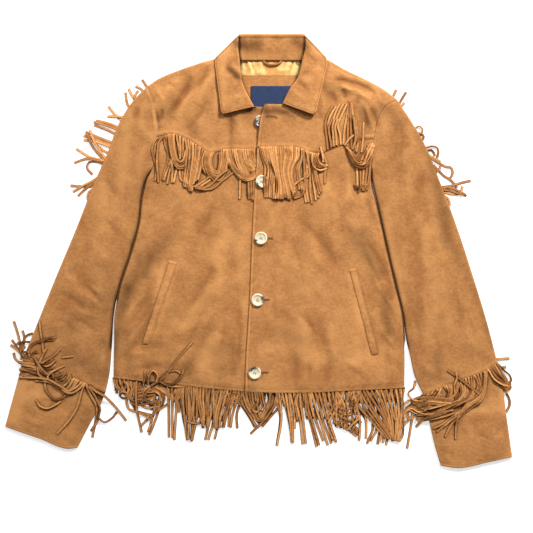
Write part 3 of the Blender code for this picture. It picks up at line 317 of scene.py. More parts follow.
class JacketClothSettings(bpy.types.PropertyGroup):
    step: FloatProperty(name="Cloth detail", description="Spacing of the cloth's points, in mm",
                        default=3.2, min=1.0, max=20.0)
    fold_strength: FloatProperty(name="Folds", description="How deep the folds are",
                                 default=1.0, min=0.0, max=2.0)
    # both colours also paint light and shade: the brushed-up one on ridges and rims, the brushed-down one
    # in folds
    suede_light: FloatVectorProperty(name="Suede, brushed up", subtype="COLOR", min=0, max=1,
                                     description="Colour of the nap where it is brushed up",
                                     default=(0.745, 0.345, 0.118))
    suede_dark: FloatVectorProperty(name="Suede, brushed down", subtype="COLOR", min=0, max=1,
                                    description="Colour of the nap in folds and hand marks",
                                    default=(0.385, 0.153, 0.048))
    satin: FloatVectorProperty(name="Satin", subtype="COLOR", min=0, max=1,
                               description="Colour of the neck lining", default=(1.0, 0.74, 0.27))
    label: FloatVectorProperty(name="Label", subtype="COLOR", min=0, max=1,
                               description="Colour of the blank woven label",
                               default=(0.028, 0.046, 0.112))


class JacketFringeSettings(bpy.types.PropertyGroup):
    width: FloatProperty(name="Strand width", description="Width of a strand, in mm", default=5.0)
    thickness: FloatProperty(name="Strand thickness", description="Thickness of a strand, in mm",
                             default=1.5)
    seed: IntProperty(name="Seed", description="Start of the fringe's unevenness", default=7)


class JacketSewingSettings(bpy.types.PropertyGroup):
    pitch: FloatProperty(name="Stitch pitch", description="From one stitch to the next, in metres",
                         default=0.0034, unit="LENGTH", precision=4)
    length: FloatProperty(name="Stitch length", description="Length of a stitch, in metres",
                          default=0.0026, unit="LENGTH", precision=4)
    thread: FloatProperty(name="Thread", description="Thickness of the thread, in metres",
                          default=0.0007, unit="LENGTH", precision=4)
    colour: FloatVectorProperty(name="Thread colour", subtype="COLOR", min=0, max=1,
                                description="Colour of the sewing thread",
                                default=(0.36, 0.150, 0.052))


class JacketStageSettings(bpy.types.PropertyGroup):
    camera_height: FloatProperty(name="Camera height", description="Camera above the floor",
                                 default=1.5, unit="LENGTH")
    view_width: FloatProperty(name="View width", description="Width that the picture takes in",
                              default=0.970, unit="LENGTH")
    key_power: FloatProperty(name="Key light", description="Power of the main soft light, in watts",
                             default=175.0)
    fill_power: FloatProperty(name="Fill light", description="Power of the second soft light, in watts",
                              default=80.0)
    sky: FloatProperty(name="Room light", description="Strength of the even light all round",
                       default=0.22)


# ------------------------------------------------------------------ lines and panels


def curve_through(points, fineness=14):
    """A smooth line through the points, as an array of many."""
    points = np.array(points, float)
    chord = np.linalg.norm(np.diff(points, axis=0), axis=1)
    slope = np.diff(points, axis=0) / chord[:, None]
    inner = ((slope[:-1] * chord[1:, None] + slope[1:] * chord[:-1, None])
             / (chord[:-1] + chord[1:])[:, None])
    tangent = np.vstack([slope[:1], inner, slope[-1:]])
    t = np.linspace(0, 1, fineness + 1)[1:, None]
    line = [points[:1]]
    for k, reach in enumerate(chord):
        line.append(points[k] * (1 + 2 * t) * (1 - t) ** 2 + tangent[k] * reach * t * (1 - t) ** 2
                    + points[k + 1] * t * t * (3 - 2 * t) - tangent[k + 1] * reach * t * t * (1 - t))
    return np.vstack(line)


def lengths_along(line):
    return np.concatenate([[0.0], np.cumsum(np.linalg.norm(np.diff(line, axis=0), axis=1))])


def cut(line, shares):
    """The points at given shares of a line's length."""
    reach = lengths_along(line)
    stops = np.asarray(shares) * reach[-1]
    return np.stack([np.interp(stops, reach, line[:, k]) for k in range(line.shape[1])], axis=-1)


def evenly(line, step):
    """A line cut into equal steps of about the given length."""
    count = max(2, round(lengths_along(line)[-1] / step))
    return cut(line, np.linspace(0, 1, count + 1))


def ramp(value, low, high):
    """0 below low, 1 above high, smooth between."""
    t = np.clip((value - low) / (high - low), 0.0, 1.0)
    return t * t * (3 - 2 * t)


def table_at(rows, key):
    """The other columns of a table, between its rows, where its first column is key."""
    rows = np.array(sorted(rows), float)
    return [np.interp(key, rows[:, 0], rows[:, k]) for k in range(1, rows.shape[1])]


class Edge:
    """One side of a panel: stretches that are smooth in themselves and meet at corners."""

    def __init__(self, *stretches):
        parts = [curve_through(points) for points in stretches]
        self.line = np.vstack([parts[0]] + [part[1:] for part in parts[1:]])
        self.length = lengths_along(self.line)[-1]
        ends = np.cumsum([lengths_along(part)[-1] for part in parts])[:-1]
        self.corners = ends / self.length

    def at(self, shares):
        shares = shares.copy()
        for corner in self.corners:
            shares[1 + np.argmin(np.abs(shares[1:-1] - corner))] = corner
        return cut(self.line, shares)


LIP_STOPS = (0.0, 0.35, 0.9, 1.7, 2.8, 4.2)     # close to an edge the points are closer together


def stations(length, step):
    """Shares of a length, evenly spread but closer together near both ends."""
    lip = list(LIP_STOPS)
    inner = length - 2 * lip[-1]
    count = max(2, round(inner / step))
    middle = [lip[-1] + inner * k / count for k in range(1, count)]
    return np.array(lip + middle + [length - d for d in reversed(lip)]) / length


class Plan:
    """A four-sided piece of cloth seen from above, filled in evenly between its edges. Its arrays
    have a row for each step up and a column for each step across."""

    def __init__(self, bottom, right, top, left, step):
        across = stations((bottom.length + top.length) / 2, step)
        up = stations((left.length + right.length) / 2, step)
        low, high, start, end = bottom.at(across), top.at(across), left.at(up), right.at(up)
        u, v = across[None, :, None], up[:, None, None]
        corners = ((low[0] * (1 - u) + low[-1] * u) * (1 - v)
                   + (high[0] * (1 - u) + high[-1] * u) * v)
        self.xy = (start[:, None] * (1 - u) + end[:, None] * u + low[None] * (1 - v) + high[None] * v
                   - corners)
        shape = self.xy.shape[:2]
        self.u = np.broadcast_to(across[None, :], shape)
        self.v = np.broadcast_to(up[:, None], shape)
        self.measure()

    def measure(self):
        """Distances along the grid to the bottom, right, top and left edges."""
        row = np.linalg.norm(np.diff(self.xy, axis=1), axis=2)
        column = np.linalg.norm(np.diff(self.xy, axis=0), axis=2)
        left = np.concatenate([np.zeros((len(row), 1)), np.cumsum(row, axis=1)], axis=1)
        bottom = np.concatenate([np.zeros((1, column.shape[1])), np.cumsum(column, axis=0)])
        self.away = [bottom, left[:, -1:] - left, bottom[-1:] - bottom, left]

    def squarely(self):
        """Shortest distances to the bottom, right, top and left edges, as they now are."""
        away = []
        for line in (self.xy[0], self.xy[:, -1], self.xy[-1], self.xy[:, 0]):
            nearest = np.full(self.xy.shape[:2], np.inf)
            for start, run in zip(line, np.diff(line, axis=0)):
                offset = self.xy - start
                along = np.clip(offset @ run / max(run @ run, 1e-9), 0, 1)
                nearest = np.minimum(nearest, ((offset - along[..., None] * run) ** 2).sum(axis=2))
            away.append(np.sqrt(nearest))
        self.away = away

    def push(self, side, distance, reach=9.0):
        """Moves one edge outwards (bottom 0, right 1, top 2, left 3)."""
        axis = 0 if side in (0, 2) else 1
        outward = np.gradient(self.xy, axis=axis) * (1 if side in (1, 2) else -1)
        outward /= np.linalg.norm(outward, axis=2)[..., None]
        share = np.clip(1 - self.away[side] / reach, 0, 1) ** 2
        self.xy = self.xy + outward * (distance * share)[..., None]
        self.measure()


FOLD_BOW = 0.06            # a fold bows out by this share of its length
FOLD_RIDGE = 0.36          # width of a fold's sharp ridge, as a share of the fold's


def fold_heights(x, y, folds):
    """All the folds of a table, at arrays of points."""
    total = np.zeros_like(x)
    for x0, y0, x1, y1, half_width, height in folds:
        run = np.array([x1 - x0, y1 - y0])
        share = ((x - x0) * run[0] + (y - y0) * run[1]) / (run @ run)
        bow = FOLD_BOW * math.hypot(*run) * np.sin(np.pi * np.clip(share, 0, 1))
        side = ((x - x0) * run[1] - (y - y0) * run[0]) / math.hypot(*run)
        away = (side - bow * (1 if height > 0 else -1)) / half_width
        inside = (share > 0) & (share < 1)
        swell = np.sin(np.pi * np.clip(share, 0, 1)) ** 0.7
        soft, sharp = (0.62, 0.38) if height < 0 else (0.8, 0.2)
        profile = soft * np.exp(-away * away) + sharp * np.exp(-(away / FOLD_RIDGE) ** 2)
        total += np.where(inside, height * profile * swell, 0.0)
    return total


def ripples(x, y, size, seed):
    """Smooth unevenness of about -1 to 1, with bumps of the given size."""
    flat = [noise.noise((a / size, b / size, seed * 7.31)) for a, b in zip(x.ravel(), y.ravel())]
    return np.array(flat).reshape(x.shape)


PLACKET_LINE = Edge(PLACKET, PLACKET_YOKE).line


def placket_x(y):
    return np.interp(y, PLACKET_LINE[:, 1], PLACKET_LINE[:, 0])


def flush(way):
    return 0.0 * way


def down(way):
    return 0.0 * way + 1.0


def open_end(way):
    return 0.0 * way + HEM_SHARE


def below(limit):
    """Comes down only on the part of an edge before limit."""
    return lambda way: 1 - ramp(way, limit - 0.12, limit + 0.02)


# What an edge does, by name: how far it is pushed out, how far it dips, over what reach, the
# radius of its rounding, the distances of its rows of stitching, and how dark the shade painted in
# the crevice beside it is and how far that reaches
EDGES = {
    "plain": (-0.2, 0.0, 1.0, 0.9, (), 0.0, 1.0),
    "seam": (0.1, 0.6, 5.0, 0.8, (), 0.26, 1.2),
    "soft seam": (0.25, 0.4, 5.0, 0.5, (), 0.0, 1.0),
    "over": (1.6, -0.8, 9.0, 1.4, (2.1,), 0.78, 0.8),
    "under": (3.0, 2.6, 9.0, 0.0, (), 0.9, 5.0),
    "turned": (0.0, 0.0, 1.0, 1.7, (PLACKET_STITCH,), 0.6, 0.9),
    "hemmed": (0.0, 0.0, 1.0, 1.6, (HEM_STITCH,), 0.30, 0.9),
    "fringed": (0.0, 0.0, 1.0, 1.0, (HEM_STITCH,), 0.0, 0.9),
    "fold": (0.0, 0.0, 1.0, 1.9, (), 0.0, 1.0),
}


def stitch_trough(away, distance):
    """A row of stitching draws the cloth in a little."""
    return -0.42 * np.exp(-((away - distance) / 1.3) ** 2)


PAINTED_LIGHT_SHARE = 0.75            # painted light that a pale place of strength 1 adds
MOST_PAINTED_LIGHT = 2.4
PAINTED_SHADE_SHARE = 0.22          # painted shade that a dark place of strength 1 adds


def marked(x, y, marks, rub, deep):
    """Shares of painted light and wear and of painted shade, with the painted highlights and painted shade
    of the pale and dark places added.
    """
    change = np.zeros_like(x)
    for x0, y0, x1, y1, half_width, strength in marks:
        run_x, run_y = x1 - x0, y1 - y0
        share = np.clip(((x - x0) * run_x + (y - y0) * run_y) / (run_x ** 2 + run_y ** 2), 0, 1)
        away = np.hypot(x - x0 - share * run_x, y - y0 - share * run_y) / half_width
        change += strength * np.exp(-away * away)
    return (np.clip(rub + PAINTED_LIGHT_SHARE * np.maximum(change, 0), -1, MOST_PAINTED_LIGHT),
            np.clip(deep + PAINTED_SHADE_SHARE * np.maximum(-change, 0), 0, 1))


RELIEF_PAINTED_LIGHT = 0.36           # painted light on ridges and painted shade in troughs, for each millimetre of relief
JOIN_DIP = 1.4             # how far the cloth comes down where it touches another form


def loft(plan, falls, edges, lapped=False, joins=()):
    """Heights of an upper panel, the painted light and wear of its nap and the painted shade of its
    crevices, with its edges pushed into place. falls holds, for the bottom, right, top and left edges, the
    share of the height lost there (a function of the way along the edge) and the reach; edges holds names
    from EDGES; joins holds edges that touch another form: side, lowest and highest y, reach."""
    strength = bpy.context.scene.jacket_cloth.fold_strength
    for side, name in enumerate(edges):
        plan.push(side, EDGES[name][0])
    plan.squarely()
    x, y = plan.xy[..., 0], plan.xy[..., 1]
    ways = (plan.u, plan.v, plan.u, plan.v)
    keep = np.ones_like(x)
    for away, way, (share, reach) in zip(plan.away, ways, falls):
        depth = np.clip(1 - away / reach, 0, 1)
        keep *= 1 - share(way) * depth * depth
    lap = x - placket_x(y)
    calm = np.where(lap > -3, ramp(lap, UNDERLAP + 2, UNDERLAP + 24), ramp(-lap, 3, 16))
    fine_calm = np.where(lap > -3, ramp(lap, 6, 24), ramp(-lap, 2, 10))
    folds = fold_heights(x, y, MAIN_FOLDS) * calm * strength
    folds += fold_heights(x, y, FINE_FOLDS) * fine_calm * strength
    soft = 0.75 * ripples(x, y, 42.0, 1) + 0.40 * ripples(x, y, 17.0, 2) + 0.16 * ripples(x, y, 7.0, 3)
    relief = folds + soft * (0.35 + 0.65 * fine_calm) * strength
    z = EDGE_TOP + (LEVEL - EDGE_TOP + relief) * keep
    # ridges are painted lighter and troughs darker, as shading of the folds
    rub = relief * RELIEF_PAINTED_LIGHT
    deep = np.zeros_like(x)
    if lapped:
        z = z + LAP_RISE * (1 - ramp(lap, UNDERLAP + 6, UNDERLAP + 6 + LAP_FADE))
        away = np.hypot(x - BUTTONS[0][0], y - BUTTONS[0][1]) / FLAP_SPREAD
        z = z + FLAP_LIFT * np.exp(-away * away)
    for side, name in enumerate(edges):
        _push, dip, reach, radius, rows, dark, dark_reach = EDGES[name]
        away = plan.away[side]
        z = z - dip * np.clip(1 - away / reach, 0, 1) ** 2
        deep = np.maximum(deep, dark * np.exp(-(away / dark_reach) ** 2))
        if radius:
            inside = np.clip(radius - away, 0, radius)
            z = z - (radius - np.sqrt(radius ** 2 - inside ** 2)) * 0.9
            # a rounded edge is painted lighter, as a highlight along it
            rub = rub + (0.9 if name == "turned" else 0.45) * np.exp(-((away - 1.2) / 1.9) ** 2)
        for distance in rows:
            z = z + stitch_trough(away, distance)
            if name == "over":
                # the stitch line is painted dark as shade, and the cloth beside it painted lighter as a
                # highlight
                deep = np.maximum(deep, 0.42 * np.exp(-((away - distance) / 1.0) ** 2))
                rub = rub + 0.5 * np.exp(-((away - distance - 4.0) / 2.6) ** 2)
            # the cloth ripples along the stitching, and its raised parts are painted lighter
            along = ripples(x, y, 5.5, 9 + side)
            z = z + 0.34 * along * np.exp(-((away - distance) / 5.0) ** 2)
            rub = rub + 0.5 * along * np.exp(-((away - distance) / 4.5) ** 2)
        if name == "fringed":
            # the hem puckers, and the raised parts of the puckers are painted lighter
            pucker = ripples(x, y * 0.25, 4.2, 30 + side) + 0.6 * ripples(x, y * 0.2, 8.5, 32 + side)
            z = z + 0.40 * pucker * np.exp(-(away / 9.0) ** 2)
            rub = rub + 0.45 * pucker * np.exp(-(away / 8.0) ** 2)
        if name.endswith("seam"):
            # the cloth ripples along the seam, and its raised parts are painted lighter
            along = ripples(x, y, 9.0, 20 + side)
            z = z + 0.35 * along * np.exp(-(away / 9.0) ** 2)
            rub = rub + 0.4 * along * np.exp(-(away / 8.0) ** 2)
    for side, low, high, reach in joins:
        touching = ramp(y, low - 8, low + 8) * (1 - ramp(y, high - 8, high + 8))
        uneven = reach * (1 + 0.45 * ripples(x, y, 34.0, 12))
        # where the panel meets another form its edge dips, and the crevice there is painted dark as shade
        z = z - JOIN_DIP * touching * np.exp(-(plan.away[side] / uneven) ** 2)
        deep = np.maximum(deep, touching * np.exp(-(plan.away[side] / uneven) ** 1.5))
    return (np.maximum(z, WALL + 0.25),) + marked(x, y, PAINTED_LIGHT_AND_SHADE, np.clip(rub, -1, 1), deep)


# ------------------------------------------------------------------ meshes


def grid_mesh(name, xyz, rub=None, deep=None):
    """A mesh of a grid of points given in millimetres, face up, with its painted light and wear, and
    the painted shade of its crevices."""
    rows, columns = xyz.shape[0] - 1, xyz.shape[1] - 1
    bm = bmesh.new()
    light_and_wear_layer, painted_shade_layer = bm.verts.layers.float.new("rub"), bm.verts.layers.float.new("deep")
    bm.loops.layers.uv.new("UVMap")
    bmesh.ops.create_grid(bm, x_segments=columns, y_segments=rows, size=1.0, calc_uvs=True)
    for vert in bm.verts:
        i = round((vert.co.x + 1) / 2 * columns)
        j = round((vert.co.y + 1) / 2 * rows)
        vert.co = Vector(xyz[j, i]) * MM
        if rub is not None:
            vert[light_and_wear_layer] = rub[j, i]
        if deep is not None:
            vert[painted_shade_layer] = deep[j, i]
    bm.normal_update()
    if sum(face.normal.z * face.calc_area() for face in bm.faces) < 0:
        bmesh.ops.reverse_faces(bm, faces=bm.faces)
    mesh = bpy.data.meshes.new(name)
    bm.to_mesh(mesh)
    bm.free()
    mesh.shade_smooth()
    return mesh


def place(name, mesh, material):
    mesh.materials.clear()
    mesh.materials.append(material)
    thing = bpy.data.objects.new(name, mesh)
    bpy.context.scene.collection.objects.link(thing)
    return thing


def thicken(thing, wall, offset=-1.0):
    solidify = thing.modifiers.new("wall", "SOLIDIFY")
    solidify.thickness = wall * MM
    solidify.offset = offset
    return thing


def settled(thing, name=None):
    """A plain mesh object in place of one with modifiers."""
    graph = bpy.context.evaluated_depsgraph_get()
    mesh = bpy.data.meshes.new_from_object(thing.evaluated_get(graph), depsgraph=graph)
    old = thing.data
    kind = thing.type
    name = name or thing.name
    bpy.data.objects.remove(thing)
    if kind == "CURVE":
        bpy.data.curves.remove(old)
    mesh.name = name
    result = bpy.data.objects.new(name, mesh)
    bpy.context.scene.collection.objects.link(result)
    return result


def stands_for(piece, nodes):
    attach(piece, "root")
    if nodes:
        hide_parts(*nodes)
    return piece


class Ground:
    """The top faces of some pieces, to lay things on, in millimetres."""

    def __init__(self, names):
        verts, faces = [], []
        for name in names:
            mesh = bpy.data.objects[name].data
            base = len(verts)
            verts += [v.co / MM for v in mesh.vertices]
            faces += [[base + k for k in p.vertices] for p in mesh.polygons]
        self.tree = BVHTree.FromPolygons(verts, faces)

    def height(self, x, y):
        hit = self.tree.ray_cast(Vector((x, y, 100.0)), Vector((0, 0, -1)))
        return hit[0].z if hit[0] else 0.0

    def highest(self, x, y, radius):
        ring = [(radius * math.cos(a * math.pi / 4), radius * math.sin(a * math.pi / 4))
                for a in range(8)]
        return max(self.height(x + dx, y + dy) for dx, dy in ring + [(0, 0)])


class Heap(Ground):
    """The ground with all that has been laid on it so far, kept in small cells."""

    CELL = 1.4
    MOST = 6.5             # a pile of strands gives way, and gets no higher than this
    GAP = 0.3              # from what lies there to the underside of the next strand
    FALL = 0.32            # steepest way down of a strand that bridges a hollow
    EMPTY = -99.0          # height of a cell with nothing in it
    LEAST_SUNK = 0.25      # depth below its surroundings from which painted shade begins
    MOST_SUNK = 3.0        # the most that counts, of the depth beyond that
    # Shares of its half width that a strand covers, and those that it rests on, so that neighbours
    # may lie edge in edge
    COVERED = (-0.9, -0.45, 0.0, 0.45, 0.9)
    BEARING = (-0.55, -0.3, 0.0, 0.3, 0.55)

    def __init__(self, names):
        super().__init__(names)
        self.cells = {}

    def top(self, x, y):
        key = (round(x / self.CELL), round(y / self.CELL))
        if key not in self.cells:
            self.cells[key] = self.height(x, y)
        return self.cells[key]

    def lay(self, line, half_width, thickness, tilts, start=None, held=1):
        """Heights of a strand's underside along a line, over all that lies there. The first held
        points keep the start height, and the strand bridges hollows."""
        ahead = np.gradient(line, axis=0)
        ahead /= np.linalg.norm(ahead, axis=1)[:, None]
        side = np.stack([-ahead[:, 1], ahead[:, 0]], axis=1)
        bare = np.array([self.height(*p) for p in line])
        need = np.array([max(self.top(*(p + s * half_width * math.cos(tilt) * k)) for k in self.BEARING)
                         for p, s, tilt in zip(line, side, tilts)]) + self.GAP
        need = bare + self.MOST * (1 - np.exp(-np.maximum(need - bare, 0.1) / self.MOST))
        need += half_width * np.abs(np.sin(tilts))
        if start is not None:
            need[:held] = start + half_width * np.abs(np.sin(tilts[:held]))
        step = np.linalg.norm(np.diff(line, axis=0), axis=1)
        z = need.copy()
        for k in range(1, len(z)):
            z[k] = max(z[k], z[k - 1] - self.FALL * step[k - 1])
        for k in range(len(z) - 2, held - 1, -1):
            z[k] = max(z[k], z[k + 1] - self.FALL * step[k])
        for _round in range(3):
            middle = (z[:-2] + z[2:]) / 2
            z[1:-1] = np.maximum(z[1:-1], np.where(np.arange(1, len(z) - 1) >= held, middle, z[1:-1]))
        for p, s, tilt, height in zip(line[held:], side[held:], tilts[held:], z[held:]):
            lift = thickness * math.cos(tilt) + half_width * abs(math.sin(tilt)) * 0.5
            for k in self.COVERED:
                x, y = p + s * half_width * math.cos(tilt) * k
                key = (round(x / self.CELL), round(y / self.CELL))
                self.cells[key] = max(self.top(x, y), height + lift)
        return z

    def cover(self, name):
        """Takes in a piece as if it had been laid on the ground."""
        piece = Ground([name])
        plan = np.array([v.co.xy for v in bpy.data.objects[name].data.vertices]) / MM / self.CELL
        low, high = np.rint(plan.min(axis=0)).astype(int), np.rint(plan.max(axis=0)).astype(int)
        for i in range(low[0], high[0] + 1):
            for j in range(low[1], high[1] + 1):
                height = piece.height(i * self.CELL, j * self.CELL)
                if height > 0:
                    self.cells[i, j] = height

    def darken(self, piece, reach=2, full=2.2, share=1.0, toward=(0.8, 0.8)):
        """Paints shade on the points of a piece that lie lower than what is heaped around them, or a little
        way toward the light from them, as painted shadow."""
        mesh = piece.data
        keys = np.array(list(self.cells), int)
        low, high = keys.min(axis=0) - reach, keys.max(axis=0) + reach
        tops = np.full(tuple(high - low + 1), self.EMPTY)
        tops[keys[:, 0] - low[0], keys[:, 1] - low[1]] = list(self.cells.values())
        points = np.empty(len(mesh.vertices) * 3)
        mesh.vertices.foreach_get("co", points)
        points = points.reshape(-1, 3) / MM
        cell = np.rint((points[:, :2] + toward) / self.CELL).astype(int) - low
        inside = np.all((cell >= reach) & (cell < np.array(tops.shape) - reach), axis=1)
        sunk, weight = np.zeros(len(points)), 0.0
        for i in range(-reach, reach + 1):
            for j in range(-reach, reach + 1):
                if i * i + j * j <= reach * reach + 1:
                    around = tops[np.clip(cell[:, 0] + i, 0, tops.shape[0] - 1),
                                  np.clip(cell[:, 1] + j, 0, tops.shape[1] - 1)]
                    sunk += np.clip(around - points[:, 2] - self.LEAST_SUNK, 0.0, self.MOST_SUNK)
                    weight += 1.0
        dark = np.where(inside, np.clip(sunk / weight / full, 0, 1) * share, 0.0)
        layer = mesh.attributes.get("deep") or mesh.attributes.new("deep", "FLOAT", "POINT")
        before = np.zeros(len(points))
        layer.data.foreach_get("value", before)
        layer.data.foreach_set("value", np.maximum(before, dark))
        mesh.update()


# ------------------------------------------------------------------ finishes


class Wire:
    """A shader socket that takes part in sums."""

    def __init__(self, finish, socket):
        self.finish, self.socket = finish, socket

    def _sum(self, operation, *values):
        return self.finish.add("ShaderNodeMath", {"operation": operation},
                               {k: v for k, v in enumerate(values)})

    def __add__(self, other):
        return self._sum("ADD", self, other)

    def __sub__(self, other):
        return self._sum("SUBTRACT", self, other)

    def __rsub__(self, other):
        return self._sum("SUBTRACT", other, self)

    def __mul__(self, other):
        return self._sum("MULTIPLY", self, other)

    def __pow__(self, other):
        return self._sum("POWER", self, other)

    __radd__ = __add__
    __rmul__ = __mul__


class Finish:
    """A material whose nodes are added one call at a time."""

    def __init__(self, name, roughness, **constants):
        self.material = bpy.data.materials.new(name)
        self.material.use_nodes = True
        self.tree = self.material.node_tree
        self.shader = self.tree.nodes["Principled BSDF"]
        self.set("Roughness", roughness)
        self.set("Metallic", 0.0)
        for socket, value in constants.items():
            self.set(socket.replace("_", " "), value)
        self.place = self.add("ShaderNodeTexCoord", output="Object")

    def add(self, kind, settings=None, inputs=None, output=0):
        """A node of a kind, with its settings and the values or wires of its inputs."""
        node = self.tree.nodes.new(kind)
        for key, value in (settings or {}).items():
            if key == "stops":
                ramp_stops = node.color_ramp.elements
                while len(ramp_stops) < len(value):
                    ramp_stops.new(0.5)
                for stop, (where, colour) in zip(ramp_stops, value):
                    stop.position, stop.color = where, colour
            else:
                setattr(node, key, value)
        for key, value in (inputs or {}).items():
            if isinstance(value, Wire):
                self.tree.links.new(value.socket, node.inputs[key])
            else:
                node.inputs[key].default_value = value
        return Wire(self, node.outputs[output])

    def set(self, socket, value):
        if isinstance(value, Wire):
            self.tree.links.new(value.socket, self.shader.inputs[socket])
        else:
            self.shader.inputs[socket].default_value = value

    def speckle(self, scale, detail=2.0, stretch=None):
        """Noise of about 0 to 1, with bumps 1/scale metres wide."""
        where = self.place
        if stretch:
            where = self.add("ShaderNodeMapping", None, {"Vector": where, "Scale": stretch})
        return self.add("ShaderNodeTexNoise", None, {"Vector": where, "Scale": scale, "Detail": detail,
                                                     "Roughness": 0.6})

    def spread(self, value, low, high):
        """A value stretched so that low becomes 0 and high becomes 1."""
        return self.add("ShaderNodeMapRange", {"interpolation_type": "SMOOTHSTEP"},
                        {"Value": value, "From Min": low, "From Max": high})

    def mix(self, share, first, second):
        return self.add("ShaderNodeMix", {"data_type": "RGBA"},
                        {0: share, 6: first, 7: second}, output=2)

    def attribute(self, name):
        return self.add("ShaderNodeAttribute", {"attribute_name": name}, output="Fac")

    def bump(self, height, strength, distance):
        self.set("Normal", self.add("ShaderNodeBump", None, {"Height": height, "Strength": strength,
                                                            "Distance": distance}))


def rgba(colour, factor=1.0):
    return (colour[0] * factor, colour[1] * factor, colour[2] * factor, 1.0)


def suede_finish(name, tone, grain=1.0, extra=None, painted_edge_shade=0.0):
    """Napped suede: hand marks, fine nap, and lighter or darker where the mesh paints light and shade
    or wear. tone scales its colour, and the last argument sets how dark the shade painted along a strand's
    edges is."""
    cloth = bpy.context.scene.jacket_cloth
    f = Finish(name, 0.93, Sheen_Weight=0.10, Sheen_Roughness=0.5, Sheen_Tint=(0.95, 0.60, 0.32, 1),
               Specular_IOR_Level=0.08)
    hand = f.spread(f.speckle(17.0, 3.0), 0.32, 0.68)
    marks = f.spread(f.speckle(62.0, 3.0), 0.33, 0.67)
    streaks = f.spread(f.speckle(230.0, 3.0, stretch=(0.75, 1.0, 1.0)), 0.35, 0.65)
    nap = f.speckle(900.0, 2.0)
    scuffs = f.spread(f.speckle(95.0, 5.0, stretch=(1.0, 0.6, 1.0)), 0.60, 0.74)
    share = 0.48 + 0.18 * (hand - 0.5) + 0.13 * (marks - 0.5) + 0.16 * (streaks - 0.5)
    # the mesh's painted light and wear makes ridges, rims and worn places lighter and troughs darker
    share = share + 0.42 * grain * (nap - 0.5) + 0.42 * f.attribute("rub") + 0.10 * scuffs
    if extra:
        share = share + extra(f)
    light, dark = cloth.suede_light, cloth.suede_dark
    nap_colour = f.mix(f.spread(share, 0.0, 1.0), rgba(dark, tone), rgba(light, tone))
    # painted shade from the mesh, in crevices and under and between parts, and painted shade along a
    # strand's edges, mixed toward near black
    shade = 0.96 * f.attribute("deep")
    if painted_edge_shade:
        shade = shade + painted_edge_shade * f.spread(f.attribute("edge"), 0.24, 0.44)
    f.set("Base Color", f.mix(shade, nap_colour, (0.030, 0.011, 0.004, 1)))
    f.bump(nap * 0.6 + streaks * 0.5 + marks * 0.6, 0.35, 0.0006)
    return f.material


def strand_finish(name, tone, painted_edge_shade):
    """Suede of a strand, each a little lighter or darker than the next."""
    return suede_finish(name, tone, 0.8, lambda f: 0.70 * (f.attribute("tone") - 0.5), painted_edge_shade)


def satin_finish():
    cloth = bpy.context.scene.jacket_cloth
    f = Finish("lining_satin", 0.34, Specular_IOR_Level=0.55)
    weave = f.add("ShaderNodeTexWave", {"wave_type": "BANDS", "bands_direction": "Y"},
                  {"Vector": f.place, "Scale": 700.0, "Distortion": 0.4})
    cloudy = f.speckle(70.0)
    amber = (cloth.satin[0] * 0.80, cloth.satin[1] * 0.52, cloth.satin[2] * 0.40, 1)
    # random clouding, and the pleats painted lighter where they rise as highlights; then painted shade from
    # the mesh toward dark brown
    lit = f.mix(f.spread(cloudy + 0.55 * f.attribute("rub"), 0.20, 0.62), amber, rgba(cloth.satin))
    f.set("Base Color", f.mix(f.attribute("deep"), lit, (0.16, 0.075, 0.022, 1)))
    f.set("Roughness", 0.30 + 0.12 * cloudy)
    f.bump(weave + cloudy * 2.0, 0.08, 0.0003)
    return f.material


def label_finish():
    cloth = bpy.context.scene.jacket_cloth
    f = Finish("label_weave", 0.8, Specular_IOR_Level=0.25)
    warp = f.add("ShaderNodeTexWave", {"bands_direction": "X"}, {"Vector": f.place, "Scale": 380.0})
    weft = f.add("ShaderNodeTexWave", {"bands_direction": "Y"}, {"Vector": f.place, "Scale": 300.0})
    weave = warp * weft
    cloudy = f.speckle(120.0)
    f.set("Base Color", f.mix(0.5 * weave + 0.5 * cloudy, rgba(cloth.label, 0.75),
                              rgba(cloth.label, 1.7)))
    f.bump(weave, 0.5, 0.0003)
    return f.material


def horn_finish():
    """Cream horn with dark mottling where the mesh is marked, and on the top button painted shade on its
    lower side.
    """
    f = Finish("button_horn", 0.22, Coat_Weight=0.15, Coat_Roughness=0.12, Specular_IOR_Level=0.35)
    cloudy = f.spread(f.speckle(260.0, 3.0), 0.3, 0.7)
    streaky = f.speckle(520.0, 3.0, stretch=(1.0, 0.3, 1.0))
    cream = f.mix(cloudy, (0.84, 0.70, 0.44, 1), (1.0, 0.94, 0.72, 1))
    smoke = f.mix(f.spread(streaky, 0.35, 0.65), (0.018, 0.016, 0.018, 1), (0.22, 0.19, 0.18, 1))
    share = f.spread(f.attribute("smoke") + 0.55 * (cloudy - 0.5) + 0.5 * (streaky - 0.5), 0.38, 0.62)
    f.set("Base Color", f.mix(share, cream, smoke))
    f.set("Roughness", 0.2 + 0.15 * streaky)
    return f.material


def thread_finish(name, colour):
    f = Finish(name, 0.75, Specular_IOR_Level=0.2)
    fuzz = f.speckle(1500.0)
    f.set("Base Color", f.mix(fuzz, rgba(colour, 0.7), rgba(colour, 1.15)))
    f.bump(fuzz, 0.3, 0.0002)
    return f.material


